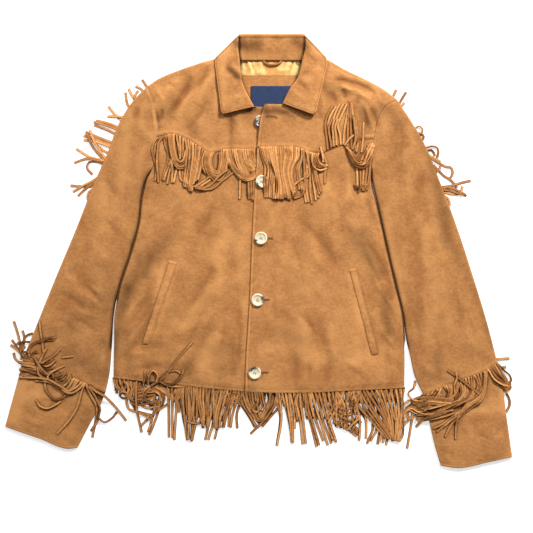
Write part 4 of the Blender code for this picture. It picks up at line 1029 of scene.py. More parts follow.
# Tones of the suedes, and of the strands with how dark the shade painted along their edges is. The
# tones are lighter and darker copies of the one suede, painting how light falls on each part; the back
# row of strands is darkest, as painted shade behind the front strands.
SUEDE_TONES = {"suede_body": 1.0, "suede_collar": 1.10, "suede_sleeve_right": 0.90,
               "suede_sleeve_left": 0.94, "suede_neck": 1.03}
STRAND_TONES = {"strands_light": (1.2, 0.8), "strands_yoke_left": (1.3, 0.7),
                "strands_arm_right": (1.32, 0.7), "strands_arm_left": (1.1, 0.8),
                "strands_dark": (0.92, 0.85), "strands_hem_right": (0.97, 0.85),
                "strands_hem_left": (1.18, 0.85), "strands_cuff": (1.08, 0.85),
                "strands_back": (0.64, 0.85)}
THREAD_BROWN = (0.27, 0.145, 0.075)
THREAD_CREAM = (0.62, 0.50, 0.30)


def finish_of(name):
    """The jacket's materials, made when first asked for."""
    if name in bpy.data.materials:
        return bpy.data.materials[name]
    if name in SUEDE_TONES:
        return suede_finish(name, SUEDE_TONES[name])
    if name in STRAND_TONES:
        return strand_finish(name, *STRAND_TONES[name])
    makers = {
        "lining_satin": satin_finish,
        "label_weave": label_finish,
        "button_horn": horn_finish,
        "thread_tan": lambda: thread_finish(name, bpy.context.scene.jacket_sewing.colour),
        "thread_brown": lambda: thread_finish(name, THREAD_BROWN),
        "thread_cream": lambda: thread_finish(name, THREAD_CREAM),
    }
    return makers[name]()


# ------------------------------------------------------------------ cloth


# The cut of each sheet of cloth: width, length and area of the flat piece, in metres
CUTS = {
    "back": (0.530, 0.624, 0.268), "front_left": (0.292, 0.466, 0.112),
    "front_right": (0.298, 0.466, 0.111), "yoke_left": (0.256, 0.190, 0.0270),
    "yoke_right": (0.246, 0.180, 0.0277), "sleeve_top_left": (0.192, 0.500, 0.0634),
    "sleeve_top_right": (0.176, 0.500, 0.0546), "sleeve_under_left": (0.192, 0.500, 0.0603),
    "sleeve_under_right": (0.176, 0.500, 0.0518), "cuff_top_left": (0.146, 0.176, 0.0216),
    "cuff_top_right": (0.156, 0.168, 0.0190), "cuff_under_left": (0.146, 0.176, 0.0216),
    "cuff_under_right": (0.156, 0.168, 0.0190), "collar_back": (0.126, 0.112, 0.0118),
    "collar_leaf_left": (0.066, 0.146, 0.0062), "collar_leaf_right": (0.066, 0.146, 0.0062),
    "lining": (0.130, 0.030, 0.0039), "neck_facing": (0.114, 0.073, 0.0083),
    "label": (0.075, 0.045, 0.0033), "pocket_welt_left": (0.017, 0.166, 0.0023),
    "pocket_welt_right": (0.017, 0.166, 0.0023),
}


def lay_cloth(name, mesh, material, wall=WALL, offset=-1.0):
    """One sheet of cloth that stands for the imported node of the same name."""
    piece = thicken(place(name + "_cloth", mesh, material), wall, offset)
    stands_for(piece, [name])
    width, length, area = CUTS[name]
    return piece


def panel(name, plan, falls, edges, material, **kind):
    z, rub, deep = loft(plan, falls, edges, **kind)
    mesh = grid_mesh(name, np.dstack([plan.xy, z]), rub, deep)
    return lay_cloth(name, mesh, material)


def flat_panel(name, plan, material):
    """An under layer, flat on the floor, which shows at edges and in gaps, its edges painted dark as shade.
    """
    z = np.full(plan.xy.shape[:2], WALL)
    deep = 0.85 * np.exp(-(np.minimum.reduce(plan.away) / 14.0) ** 2)
    mesh = grid_mesh(name, np.dstack([plan.xy, z]), z * 0, deep)
    return lay_cloth(name, mesh, material)


SIDE_REACH = 0.86          # part of a front's side that lies below the underarm


class JACKET_OT_torso(bpy.types.Operator):
    """Back, lower fronts and yokes"""
    bl_idname = "jacket.torso"
    bl_label = "Torso"

    def execute(self, context):
        step = context.scene.jacket_cloth.step * 0.8
        fine = step * 0.85         # the yokes carry strands and the collar's shadow
        suede = finish_of("suede_body")
        plan = Plan(Edge(HEM_RIGHT, HEM_LEFT), Edge(SIDE_LEFT, ARMHOLE_LEFT, ARMHOLE_LEFT_YOKE),
                    Edge(SHOULDER_RIGHT, NECK_BACK, SHOULDER_LEFT),
                    Edge(SIDE_RIGHT, ARMHOLE_RIGHT, ARMHOLE_RIGHT_YOKE), step * 3)
        # From low to the underarm a sleeve lies by the side, and the back runs on under it, so that its
        # edge,
        #         painted dark as shade, fills the gap between them
        for side, low, hidden in ((3, -95.0, 3.6), (1, -176.0, 2.0)):
            touching = ramp(plan.xy[..., 1], low, low + 15) * (1 - ramp(plan.xy[..., 1], 140, 150))
            plan.push(side, hidden * touching)
        plan.push(0, 2.2)
        flat_panel("back", plan, suede)

        plan = Plan(Edge(HEM_RIGHT, UNDER_HEM), Edge(UNDER_FRONT),
                    Edge(YOKE_RIGHT, [YOKE_RIGHT[-1], UNDER_FRONT[-1]]),
                    Edge(SIDE_RIGHT, ARMHOLE_RIGHT), step)
        falls = ((open_end, HEM_REACH), (flush, 1.0), (flush, 1.0), (below(SIDE_REACH), EDGE_REACH))
        panel("front_right", plan, falls, ("fringed", "plain", "under", "seam"), suede,
              joins=((3, -100, 150, 1.5),))

        plan = Plan(Edge(HEM_LEFT), Edge(SIDE_LEFT, ARMHOLE_LEFT), Edge(YOKE_LEFT), Edge(PLACKET), step)
        falls = ((open_end, HEM_REACH), (below(SIDE_REACH), EDGE_REACH), (flush, 1.0), (flush, 1.0))
        panel("front_left", plan, falls, ("fringed", "seam", "under", "turned"), suede, lapped=True,
              joins=((1, -178, 150, 1.8),))

        falls = ((flush, 1.0), (flush, 1.0), (down, EDGE_REACH), (flush, 1.0))
        plan = Plan(Edge(YOKE_RIGHT, [YOKE_RIGHT[-1], UNDER_YOKE[0]]),
                    Edge(UNDER_YOKE, [UNDER_YOKE[-1], NECK_RIGHT[0]], NECK_RIGHT),
                    Edge(SHOULDER_RIGHT), Edge(ARMHOLE_RIGHT_YOKE), fine)
        panel("yoke_right", plan, falls, ("over", "plain", "fold", "soft seam"), suede)

        plan = Plan(Edge(YOKE_LEFT), Edge(ARMHOLE_LEFT_YOKE), Edge(SHOULDER_LEFT),
                    Edge(PLACKET_YOKE, [PLACKET_YOKE[-1], NECK_LEFT[0]], NECK_LEFT), fine)
        panel("yoke_left", plan, falls, ("over", "seam", "fold", "turned"), suede, lapped=True)
        return {"FINISHED"}


FRINGED_SHARE = 0.5        # part of the outer fold that the arm fringe takes, from the shoulder


def sleeve_outline(side):
    """Armhole, cuff seam, cuff end, outer and inner folds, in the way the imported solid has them."""
    if side == "right":
        play, body, free, outer = -SLEEVE_PLAY, SIDE_RIGHT, SLEEVE_FREE_RIGHT, SLEEVE_OUTER_RIGHT
        head, seam, end = (ARMHOLE_RIGHT, ARMHOLE_RIGHT_YOKE), CUFF_SEAM_RIGHT, CUFF_END_RIGHT
        cuff = CUFF_OUTER_RIGHT[::-1], CUFF_INNER_RIGHT[::-1]
    else:
        play, body, free, outer = SLEEVE_PLAY, SIDE_LEFT, SLEEVE_FREE_LEFT, SLEEVE_OUTER_LEFT
        head, seam, end = (ARMHOLE_LEFT, ARMHOLE_LEFT_YOKE), CUFF_SEAM_LEFT[::-1], CUFF_END_LEFT[::-1]
        cuff = CUFF_OUTER_LEFT[::-1], CUFF_INNER_LEFT[::-1]
    by_body = [(x + play, y) for x, y in body[::-1][1:SLEEVE_BY_BODY]]
    inner = [head[0][0]] + by_body + free
    return head, seam, end, outer[::-1], inner[::-1], cuff


class JACKET_OT_sleeves(bpy.types.Operator):
    """Upper and under sleeves and the deep cuffs"""
    bl_idname = "jacket.sleeves"
    bl_label = "Sleeves"

    def execute(self, context):
        step = context.scene.jacket_cloth.step
        for side in ("right", "left"):
            suede = finish_of("suede_sleeve_" + side)
            head, seam, end, outer, inner, cuff = sleeve_outline(side)
            lower, upper = head
            armhole = Edge(upper[::-1], lower[::-1])
            plan = Plan(Edge(seam), Edge(inner), armhole, Edge(outer), step)
            falls = ((flush, 1.0), (below(0.98), EDGE_REACH), (flush, 1.0), (down, EDGE_REACH))
            head_seam = "soft seam" if side == "right" else "seam"
            panel("sleeve_top_" + side, plan, falls, ("over", "fold", head_seam, "fold"), suede,
                  joins=((1, -178, 148, 3.4 if side == "right" else 2.4),))

            plan = Plan(Edge(seam), Edge(inner), armhole, Edge(outer), step * 2.5)
            inset = 10.5 * ramp(plan.v, 1 - FRINGED_SHARE - 0.08, 1 - FRINGED_SHARE)
            plan.push(3, -inset, 30.0)
            flat_panel("sleeve_under_" + side, plan, suede)

            cuff_outer, cuff_inner = cuff
            falls = ((open_end, HEM_REACH), (down, EDGE_REACH), (flush, 1.0), (down, EDGE_REACH))
            plan = Plan(Edge(end), Edge(cuff_inner), Edge(seam), Edge(cuff_outer), step)
            panel("cuff_top_" + side, plan, falls, ("hemmed", "fold", "under", "fold"), suede)
            plan = Plan(Edge(end), Edge(cuff_inner), Edge(seam), Edge(cuff_outer), step * 2.5)
            flat_panel("cuff_under_" + side, plan, suede)
        return {"FINISHED"}


UPPER_CLOTH = ("front_right_cloth", "front_left_cloth", "yoke_right_cloth", "yoke_left_cloth")
SLEEVE_CLOTH = ("sleeve_top_right_cloth", "sleeve_top_left_cloth", "cuff_top_right_cloth",
                "cuff_top_left_cloth")


def leaf_surface(side, step):
    """Plan, heights and rub of one collar leaf."""
    outer, roll = ((LEAF_OUTER_RIGHT, LEAF_ROLL_RIGHT) if side == "right"
                   else (LEAF_OUTER_LEFT, LEAF_ROLL_LEFT))
    corner = curve_through([outer[0], outer[1]], 2)
    bulge = -0.9 if side == "right" else 0.9
    middle = (corner[1][0] + bulge, corner[1][1] - 0.9)
    edge = Edge([outer[0], middle, outer[1]], outer[1:3], [outer[2], outer[3]])
    plan = Plan(Edge([roll[0], outer[0]]), edge, Edge([roll[-1], outer[-1]]), Edge(roll), step)
    at_roll, at_middle, at_edge = table_at(LEAF_HEIGHTS, plan.v)
    t = plan.u
    z = at_roll * (1 - t) * (1 - 2 * t) + at_middle * 4 * t * (1 - t) + at_edge * t * (2 * t - 1)
    if side == "left":
        z = z + LAP_RISE / 2
    return plan, z


class JACKET_OT_collar(bpy.types.Operator):
    """Folded back of the collar and its two leaves"""
    bl_idname = "jacket.collar"
    bl_label = "Collar"

    def execute(self, context):
        suede = finish_of("suede_collar")
        section = np.array(COLLAR_SECTION, float)
        profile = curve_through(section[:, :2], 5)
        others = [np.interp(np.arange(len(profile)) / 5, np.arange(len(section)), section[:, k])
                  for k in (2, 3, 4)]
        low, high, climb = others[0][:, None], others[1][:, None], others[2][:, None]
        tuck = COLLAR_TUCK * (1 - 0.85 * ramp(profile[:, :1], 376, 386))
        x = low - tuck + (high - low + 2 * tuck) * np.linspace(0, 1, 91)[None, :]
        share = np.clip((x - low) / (high - low), 0, 1)
        from_end = np.minimum(x - low, high - x)
        climb = climb * np.abs(2 * share - 1) ** 8
        z = profile[:, 1:2] + climb
        y = np.repeat(profile[:, :1], share.shape[1], axis=1) - 0.25 * climb
        upper = np.clip((z - 4.0) / 1.5, 0, 1)
        z = z - 1.8 * ramp(-from_end, 0.5, 4.0) * upper
        soft = 0.55 * ripples(x, y, 24.0, 31) + 0.3 * ripples(x, y, 8.0, 32)
        z = z + soft * upper
        # the fold at the top is painted light as a rim highlight and the band below it darker; the band's
        # ends under the leaves' roll lines, the line under the fold and the lower edge over the satin get
        # painted shade
        rim = ramp(y, 386.6, 388.4)
        deep = (np.exp(-(np.maximum(from_end, 0) / 3.4) ** 2) * 0.8
                + 0.12 * np.exp(-((y - 386.2) / 1.4) ** 2))
        deep = deep * (1 - rim) + 0.12 * np.exp(-((y - 345.6) / 1.3) ** 2)
        rub, deep = marked(x, y, COLLAR_PAINTED_LIGHT_AND_SHADE, soft * 0.8 + 0.1 * rim - 0.3 * (1 - rim), deep)
        mesh = grid_mesh("collar_back", np.dstack([x, y, z]), rub, deep)
        bm = bmesh.new()
        bm.from_mesh(mesh)
        bmesh.ops.recalc_face_normals(bm, faces=bm.faces)
        bm.to_mesh(mesh)
        bm.free()
        lay_cloth("collar_back", mesh, suede, offset=0.0)

        ground = Ground(UPPER_CLOTH)
        for side in ("right", "left"):
            plan, z = leaf_surface(side, 2.2)
            x, y = plan.xy[..., 0], plan.xy[..., 1]
            floor = np.array([ground.height(a, b) for a, b in zip(x.ravel(), y.ravel())])
            z = np.maximum(z, floor.reshape(z.shape) + WALL + 1.2)
            z = z + 1.0 * ramp(1 - plan.v, 0.55, 1.0) * plan.u      # the points stand off the yoke
            soft = 0.6 * ripples(x, y, 30.0, 41) + 0.35 * ripples(x, y, 11.0, 42)
            soft += 1.5 * fold_heights(x, y, LEAF_FOLDS)
            z = z + soft
            # the leaf's ripples and folds are painted lighter where they rise and darker where they sink
            rub, deep = soft * 0.45, np.zeros_like(z)
            plan.squarely()
            for k, away in enumerate(plan.away):
                radius = 4.2 if k == 3 else 1.5
                inside = np.clip(radius - away, 0, radius)
                z = z - (radius - np.sqrt(radius ** 2 - inside ** 2)) * 0.95
                # each edge's rounding is painted light as a highlight, and the stitch line beside the outer
                # edges dark as shade
                rub = rub + 0.55 * np.exp(-(away / 1.8) ** 2)
                if k < 3:
                    z = z + stitch_trough(away, LEAF_STITCH)
                    deep = np.maximum(deep, 0.26 * np.exp(-((away - LEAF_STITCH) / 0.9) ** 2))
                    along = ripples(x, y, 5.0, 50 + k)
                    z = z + 0.22 * along * np.exp(-((away - LEAF_STITCH) / 3.0) ** 2)
            rub, deep = marked(x, y, COLLAR_PAINTED_LIGHT_AND_SHADE, np.clip(rub, -1, 1), deep)
            mesh = grid_mesh("collar_leaf_" + side, np.dstack([x, y, z]), rub, deep)
            leaf = lay_cloth("collar_leaf_" + side, mesh, suede)
            # the leaf's shadow, painted onto the yoke below it, falls away from the light
            shadow = Heap(UPPER_CLOTH)
            shadow.cover(leaf.name)
            shadow.darken(bpy.data.objects[f"yoke_{side}_cloth"], 2, 3.4, 0.62, (2.2, 3.2))
        return {"FINISHED"}


LINING_TOP, LINING_BOTTOM = 345.6, 316.5
FACING_BOTTOM = 244.0
LABEL_BOX = (-14.6, 254.0, 60.0, 298.5)
# Pleats of the satin: x, half width, height, and how far its foot lies to the side of its head
PLEATS = [(-31, 2.2, 1.6, 6), (-25, 1.6, -0.9, 9), (-20, 2.4, 1.3, 10), (-11, 3.0, 0.8, 12),
          (2, 4.0, 0.6, 8), (14, 3.5, -0.5, -2), (44, 4.0, 0.6, -6), (55, 3.0, 0.9, -10),
          (63, 1.8, -0.8, -9), (67, 2.2, 1.5, -8), (73, 2.0, 1.6, -6)]
# The hanger loop's middle line, from the one end to the other
HANGER = [(7.5, 345.5), (9.5, 341.5), (15, 338), (24, 336.6), (33, 338), (39, 341.5), (41, 345.5)]
HANGER_HALF_WIDTH = 1.9


def oblong(x0, y0, x1, y1, step, height):
    """A rectangle of cloth with heights from a function of arrays x and y."""
    columns, rows = round((x1 - x0) / step), round((y1 - y0) / step)
    x, y = np.meshgrid(np.linspace(x0, x1, columns + 1), np.linspace(y0, y1, rows + 1))
    return np.dstack([x, y, height(x, y)])


class JACKET_OT_neck(bpy.types.Operator):
    """Satin, facing, blank label and hanger loop inside the neck"""
    bl_idname = "jacket.neck"
    bl_label = "Neck"

    def execute(self, context):
        floor = WALL + 0.35 + THIN_WALL

        def pleated(x, y):
            down = (LINING_TOP - y) / (LINING_TOP - LINING_BOTTOM)
            z = floor + 0.3 + 0.5 * ripples(x, y, 13.0, 61) + 0.35 * ripples(x, y, 5.0, 62)
            for at, half_width, height, slant in PLEATS:
                away = (x - at - slant * down) / (half_width * (0.8 + 0.9 * down))
                z = z + height * np.exp(-away * away) * (1 - 0.75 * down)
            return floor + (np.maximum(z, floor) - floor) * (1 - 0.8 * ramp(down, 0.86, 1.0))
        xyz = oblong(-40, LINING_BOTTOM, 82, LINING_TOP, 1.1, pleated)
        x, y, z = xyz[..., 0], xyz[..., 1], xyz[..., 2]
        # the satin's sides and its top, under the collar, are painted dark as shade, and its pleats painted
        # lighter where they rise
        deep = (0.7 * np.exp(-(np.minimum(x + 34, 77 - x) / 2.4) ** 2)
                + 0.45 * np.exp(-((y - 344.0) / 1.6) ** 2))
        lay_cloth("lining", grid_mesh("lining", xyz, (z - floor) * 0.8 - 0.6, np.clip(deep, 0, 1)),
                  finish_of("lining_satin"), THIN_WALL)

        xyz = oblong(-36, FACING_BOTTOM, 78, LINING_BOTTOM - 0.1, 2.4,
                     lambda x, y: floor + 0.1 + 0.25 * ripples(x, y, 22.0, 63))
        x, y = xyz[..., 0], xyz[..., 1]
        # the facing is painted dark as shade beside the leaves' roll lines and under the satin
        beside = np.minimum(x - np.interp(y, [244, 272, 301, 345], [-4, -15, -29, -35]),
                            np.interp(y, [244, 265, 292, 310, 345], [34, 42, 56, 69, 78]) - x)
        deep = (0.55 * np.exp(-(np.maximum(beside, 0) / 2.6) ** 2)
                + 0.3 * np.exp(-((y - LINING_BOTTOM) / 1.2) ** 2))
        lay_cloth("neck_facing", grid_mesh("neck_facing", xyz, xyz[..., 2] * 0, np.clip(deep, 0, 1)),
                  finish_of("suede_neck"), THIN_WALL + 0.2)
        xyz = oblong(*LABEL_BOX, 1.8, lambda x, y: floor + 1.5 + 0.2 * ripples(x, y, 18.0, 64))
        lay_cloth("label", grid_mesh("label", xyz), finish_of("label_weave"), 0.7)

        satin = Ground(["lining_cloth"])
        line = evenly(curve_through(HANGER), 1.2)
        ahead = np.gradient(line, axis=0)
        side = np.stack([-ahead[:, 1], ahead[:, 0]], axis=1) / np.linalg.norm(ahead, axis=1)[:, None]
        share = np.linspace(0, 1, len(line))
        across = np.linspace(-HANGER_HALF_WIDTH, HANGER_HALF_WIDTH, 7)
        lift = np.array([satin.highest(x, y, 3.0) for x, y in line])
        lift = np.convolve(np.pad(lift, 6, "edge"), np.ones(13) / 13, "valid") + 1.7
        lift = lift + 0.9 * np.sin(np.pi * share)
        points = line[None] + side[None] * across[:, None, None]
        z = lift[None] + 0.5 * (1 - (across[:, None] / HANGER_HALF_WIDTH) ** 2)
        points[..., 1] = np.minimum(points[..., 1], LINING_TOP)
        mesh = grid_mesh("hanger_loop", np.dstack([points, z]), z * 0 - 0.3, z * 0 + 0.15)
        piece = thicken(place("hanger_loop_strap", mesh, finish_of("suede_neck")), 1.3)
        stands_for(piece, ["hanger_loop"])
        return {"FINISHED"}


class JACKET_OT_pockets(bpy.types.Operator):
    """Slanted pocket welts"""
    bl_idname = "jacket.pockets"
    bl_label = "Pockets"

    def shade_beside(self, mesh, outer, inner):
        """Paints shade on the cloth along a welt's open side, and lightens the cloth on its other side."""
        deep, rub = mesh.attributes["deep"].data, mesh.attributes["rub"].data
        middle = (outer[0] + outer[-1] + inner[0] + inner[-1]) / 4
        ahead = (outer[-1] - outer[0]) / np.linalg.norm(outer[-1] - outer[0])
        across = np.array([-ahead[1], ahead[0]])
        across = across * np.sign((outer[0] - inner[0]) @ across)
        half_length = np.linalg.norm(outer[-1] - outer[0]) / 2
        half_width = np.linalg.norm(outer[0] - inner[0]) / 2
        for k, vert in enumerate(mesh.vertices):
            offset = np.array(vert.co.xy) / MM - middle
            along, out = offset @ ahead, offset @ across
            if abs(along) < half_length + 3 and abs(out) < half_width + 14:
                fade = 1 - ramp(abs(along), half_length - 12, half_length + 3)
                if out > half_width - 2:
                    shade = 0.3 * fade * math.exp(-((out - half_width) / 1.6) ** 2)
                    deep[k].value = max(deep[k].value, shade)
                else:
                    rub[k].value += 0.45 * fade * math.exp(-((out + half_width + 4) / 5) ** 2)

    def execute(self, context):
        ground = Ground(UPPER_CLOTH)
        for side, corners in (("right", WELT_RIGHT), ("left", WELT_LEFT)):
            top_outer, top_inner, low_outer, low_inner = [np.array(c, float) for c in corners]
            up = np.linspace(0, 1, 73)[:, None]
            outer = low_outer + (top_outer - low_outer) * up
            inner = low_inner + (top_inner - low_inner) * up
            across = np.array([0, 0.02, 0.06, 0.12, 0.2, 0.35, 0.5, 0.65, 0.8, 0.88, 0.94, 0.98, 1.0])
            xy = outer[:, None] + (inner - outer)[:, None] * across[None, :, None]
            width = np.linalg.norm(outer - inner, axis=1)[:, None]
            from_edge = np.minimum(across, 1 - across)[None] * width
            end = np.minimum(up, 1 - up) * 160.0
            base = np.array([ground.highest(*(o * 0.5 + i * 0.5), 5.0) for o, i in zip(outer, inner)])
            base = np.convolve(np.pad(base, 5, "edge"), np.ones(11) / 11, "valid")[:, None]
            round_off = np.clip(1.4 - np.minimum(from_edge, end), 0, 1.4)
            z = base + 1.2 + 0.5 * ramp(from_edge, 1.0, 6.0) - (1.4 - np.sqrt(1.96 - round_off ** 2))
            z = z + stitch_trough(end, 4.0) + 0.25 * ripples(xy[..., 0], xy[..., 1], 6.0, 71)
            worn = ripples(xy[..., 0], xy[..., 1], 8.0, 72)
            # a highlight painted along the welt's edges, random wear, and lighter toward its top end
            rub = (0.1 + 0.25 * np.exp(-(from_edge / 1.8) ** 2) + 0.9 * np.maximum(worn, 0)
                   + 0.5 * ramp(up, 0.3, 0.85)) * ramp(end, 2.0, 14.0)
            to_outer, to_inner = across[None] * width, (1 - across[None]) * width
            broken = np.clip(0.35 + 1.2 * ripples(xy[..., 0], xy[..., 1], 13.0, 73), 0, 1)
            # painted shade in the pocket's opening along the outer side, and a broken line of painted shade
            # along the inner side
            deep = np.maximum(0.62 * np.exp(-(to_outer / 0.9) ** 2),
                              (0.42 - 0.34 * up) * broken * np.exp(-(to_inner / 0.9) ** 2)) * (end > 2)
            mesh = grid_mesh("pocket_welt_" + side, np.dstack([xy, z]), np.clip(rub, -1, 1), deep)
            lay_cloth("pocket_welt_" + side, mesh, finish_of("suede_body"), 1.6)
            self.shade_beside(bpy.data.objects[f"front_{side}_cloth"].data, outer[::6], inner[::6])
        return {"FINISHED"}


class JACKET_OT_buttons(bpy.types.Operator):
    """Turned buttons with four holes, sewn on with thread"""
    bl_idname = "jacket.buttons"
    bl_label = "Buttons"

    def button(self, number, x, y, floor, turn, dark_at, dark_reach):
        r, h = BUTTON_RADIUS, BUTTON_HEIGHT
        bm = bmesh.new()
        line = [bm.verts.new((out * r * MM, 0, up * h * MM)) for out, up in BUTTON_SECTION]
        for a, b in zip(line, line[1:]):
            bm.edges.new((a, b))
        bmesh.ops.spin(bm, geom=bm.verts[:] + bm.edges[:], cent=(0, 0, 0), axis=(0, 0, 1),
                       angle=2 * math.pi, steps=56, use_merge=True)
        bmesh.ops.remove_doubles(bm, verts=bm.verts, dist=1e-6)
        bmesh.ops.recalc_face_normals(bm, faces=bm.faces)
        mesh = bpy.data.meshes.new(f"button_{number}")
        bm.to_mesh(mesh)
        bm.free()
        body = place(f"button_{number}_horn", mesh, finish_of("button_horn"))
        holes = bmesh.new()
        for k in range(4):
            a = math.radians(turn + 90 * k)
            made = bmesh.ops.create_cone(holes, cap_ends=True, segments=14, radius1=HOLE_RADIUS * MM,
                                         radius2=HOLE_RADIUS * MM, depth=3 * h * MM)
            bmesh.ops.translate(holes, verts=made["verts"],
                                vec=(HOLES_OUT * math.cos(a) * MM, HOLES_OUT * math.sin(a) * MM, 0))
        tool_mesh = bpy.data.meshes.new("drill")
        holes.to_mesh(tool_mesh)
        holes.free()
        drill = bpy.data.objects.new("drill", tool_mesh)
        bpy.context.scene.collection.objects.link(drill)
        bore = body.modifiers.new("holes", "BOOLEAN")
        bore.object, bore.solver = drill, "EXACT"
        body = settled(body, f"button_{number}_horn")
        bpy.data.objects.remove(drill)
        # dark mottling of the horn, and on the top button painted shade on its lower side
        smoke = body.data.attributes.new("smoke", "FLOAT", "POINT")
        for vert, value in zip(body.data.vertices, smoke.data):
            angle = math.degrees(math.atan2(vert.co.y, vert.co.x)) % 360
            turn_away = abs((angle - dark_at + 180) % 360 - 180)
            out = vert.co.xy.length / (r * MM)
            near = max(0.0, 1 - turn_away / max(dark_reach, 1) * 0.62)
            value.value = near * min(1.0, max(0.0, out * 1.5 - 0.45 + dark_reach / 200))
            vert.co += Vector((x, y, floor)) * MM
        body.data.shade_smooth()
        body.data.set_sharp_from_angle(angle=math.radians(50))
        stands_for(body, [f"button_{number}"])
        return body

    def threads(self, number, x, y, floor, turn):
        """Thread between the four holes."""
        curve = bpy.data.curves.new(f"button_thread_{number}", "CURVE")
        curve.dimensions, curve.bevel_depth, curve.bevel_resolution = "3D", 0.00042, 2
        top = floor + BUTTON_SECTION[0][1] * BUTTON_HEIGHT + 0.2
        for k in (0, 1):
            for offset in (-0.45, 0.45):
                a, b = math.radians(turn + 90 * k), math.radians(turn + 90 * (3 - k))
                run = [(HOLES_OUT * math.cos(turned), HOLES_OUT * math.sin(turned)) for turned in (a, b)]
                spline = curve.splines.new("POLY")
                spline.points.add(6)
                across = np.array([-(run[1][1] - run[0][1]), run[1][0] - run[0][0]])
                across = across / np.linalg.norm(across) * offset
                for t, point in zip(np.linspace(0, 1, 7), spline.points):
                    px = run[0][0] * (1 - t) + run[1][0] * t + across[0] + x
                    py = run[0][1] * (1 - t) + run[1][1] * t + across[1] + y
                    pz = top + 0.35 * math.sin(math.pi * t) - (2.0 if t in (0, 1) else 0)
                    point.co = (px * MM, py * MM, pz * MM, 1)
        thing = bpy.data.objects.new(curve.name, curve)
        bpy.context.scene.collection.objects.link(thing)
        thing = settled(thing)
        thing.data.materials.clear()
        thing.data.materials.append(finish_of("thread_cream"))
        stands_for(thing, [])

    def execute(self, context):
        upper, lower = Ground(UPPER_CLOTH), Ground(["yoke_right_cloth", "front_right_cloth"])
        for number, (x, y, turn, dark_at, dark_reach) in enumerate(BUTTONS, 1):
            floor = (lower if number == 1 else upper).highest(x, y, BUTTON_RADIUS) + 0.35
            self.button(number, x, y, floor, turn, dark_at, dark_reach)
            self.threads(number, x, y, floor, turn)
        return {"FINISHED"}


# ------------------------------------------------------------------ fringe

# Points of strands are (column, row) on a grid of squares, counted from the grid's top left corner.
# GRID_CENTRE is the point of the grid that lies on the origin.
SQUARE = 1.82              # width of a square
GRID_CENTRE = (259.0, 250.5)

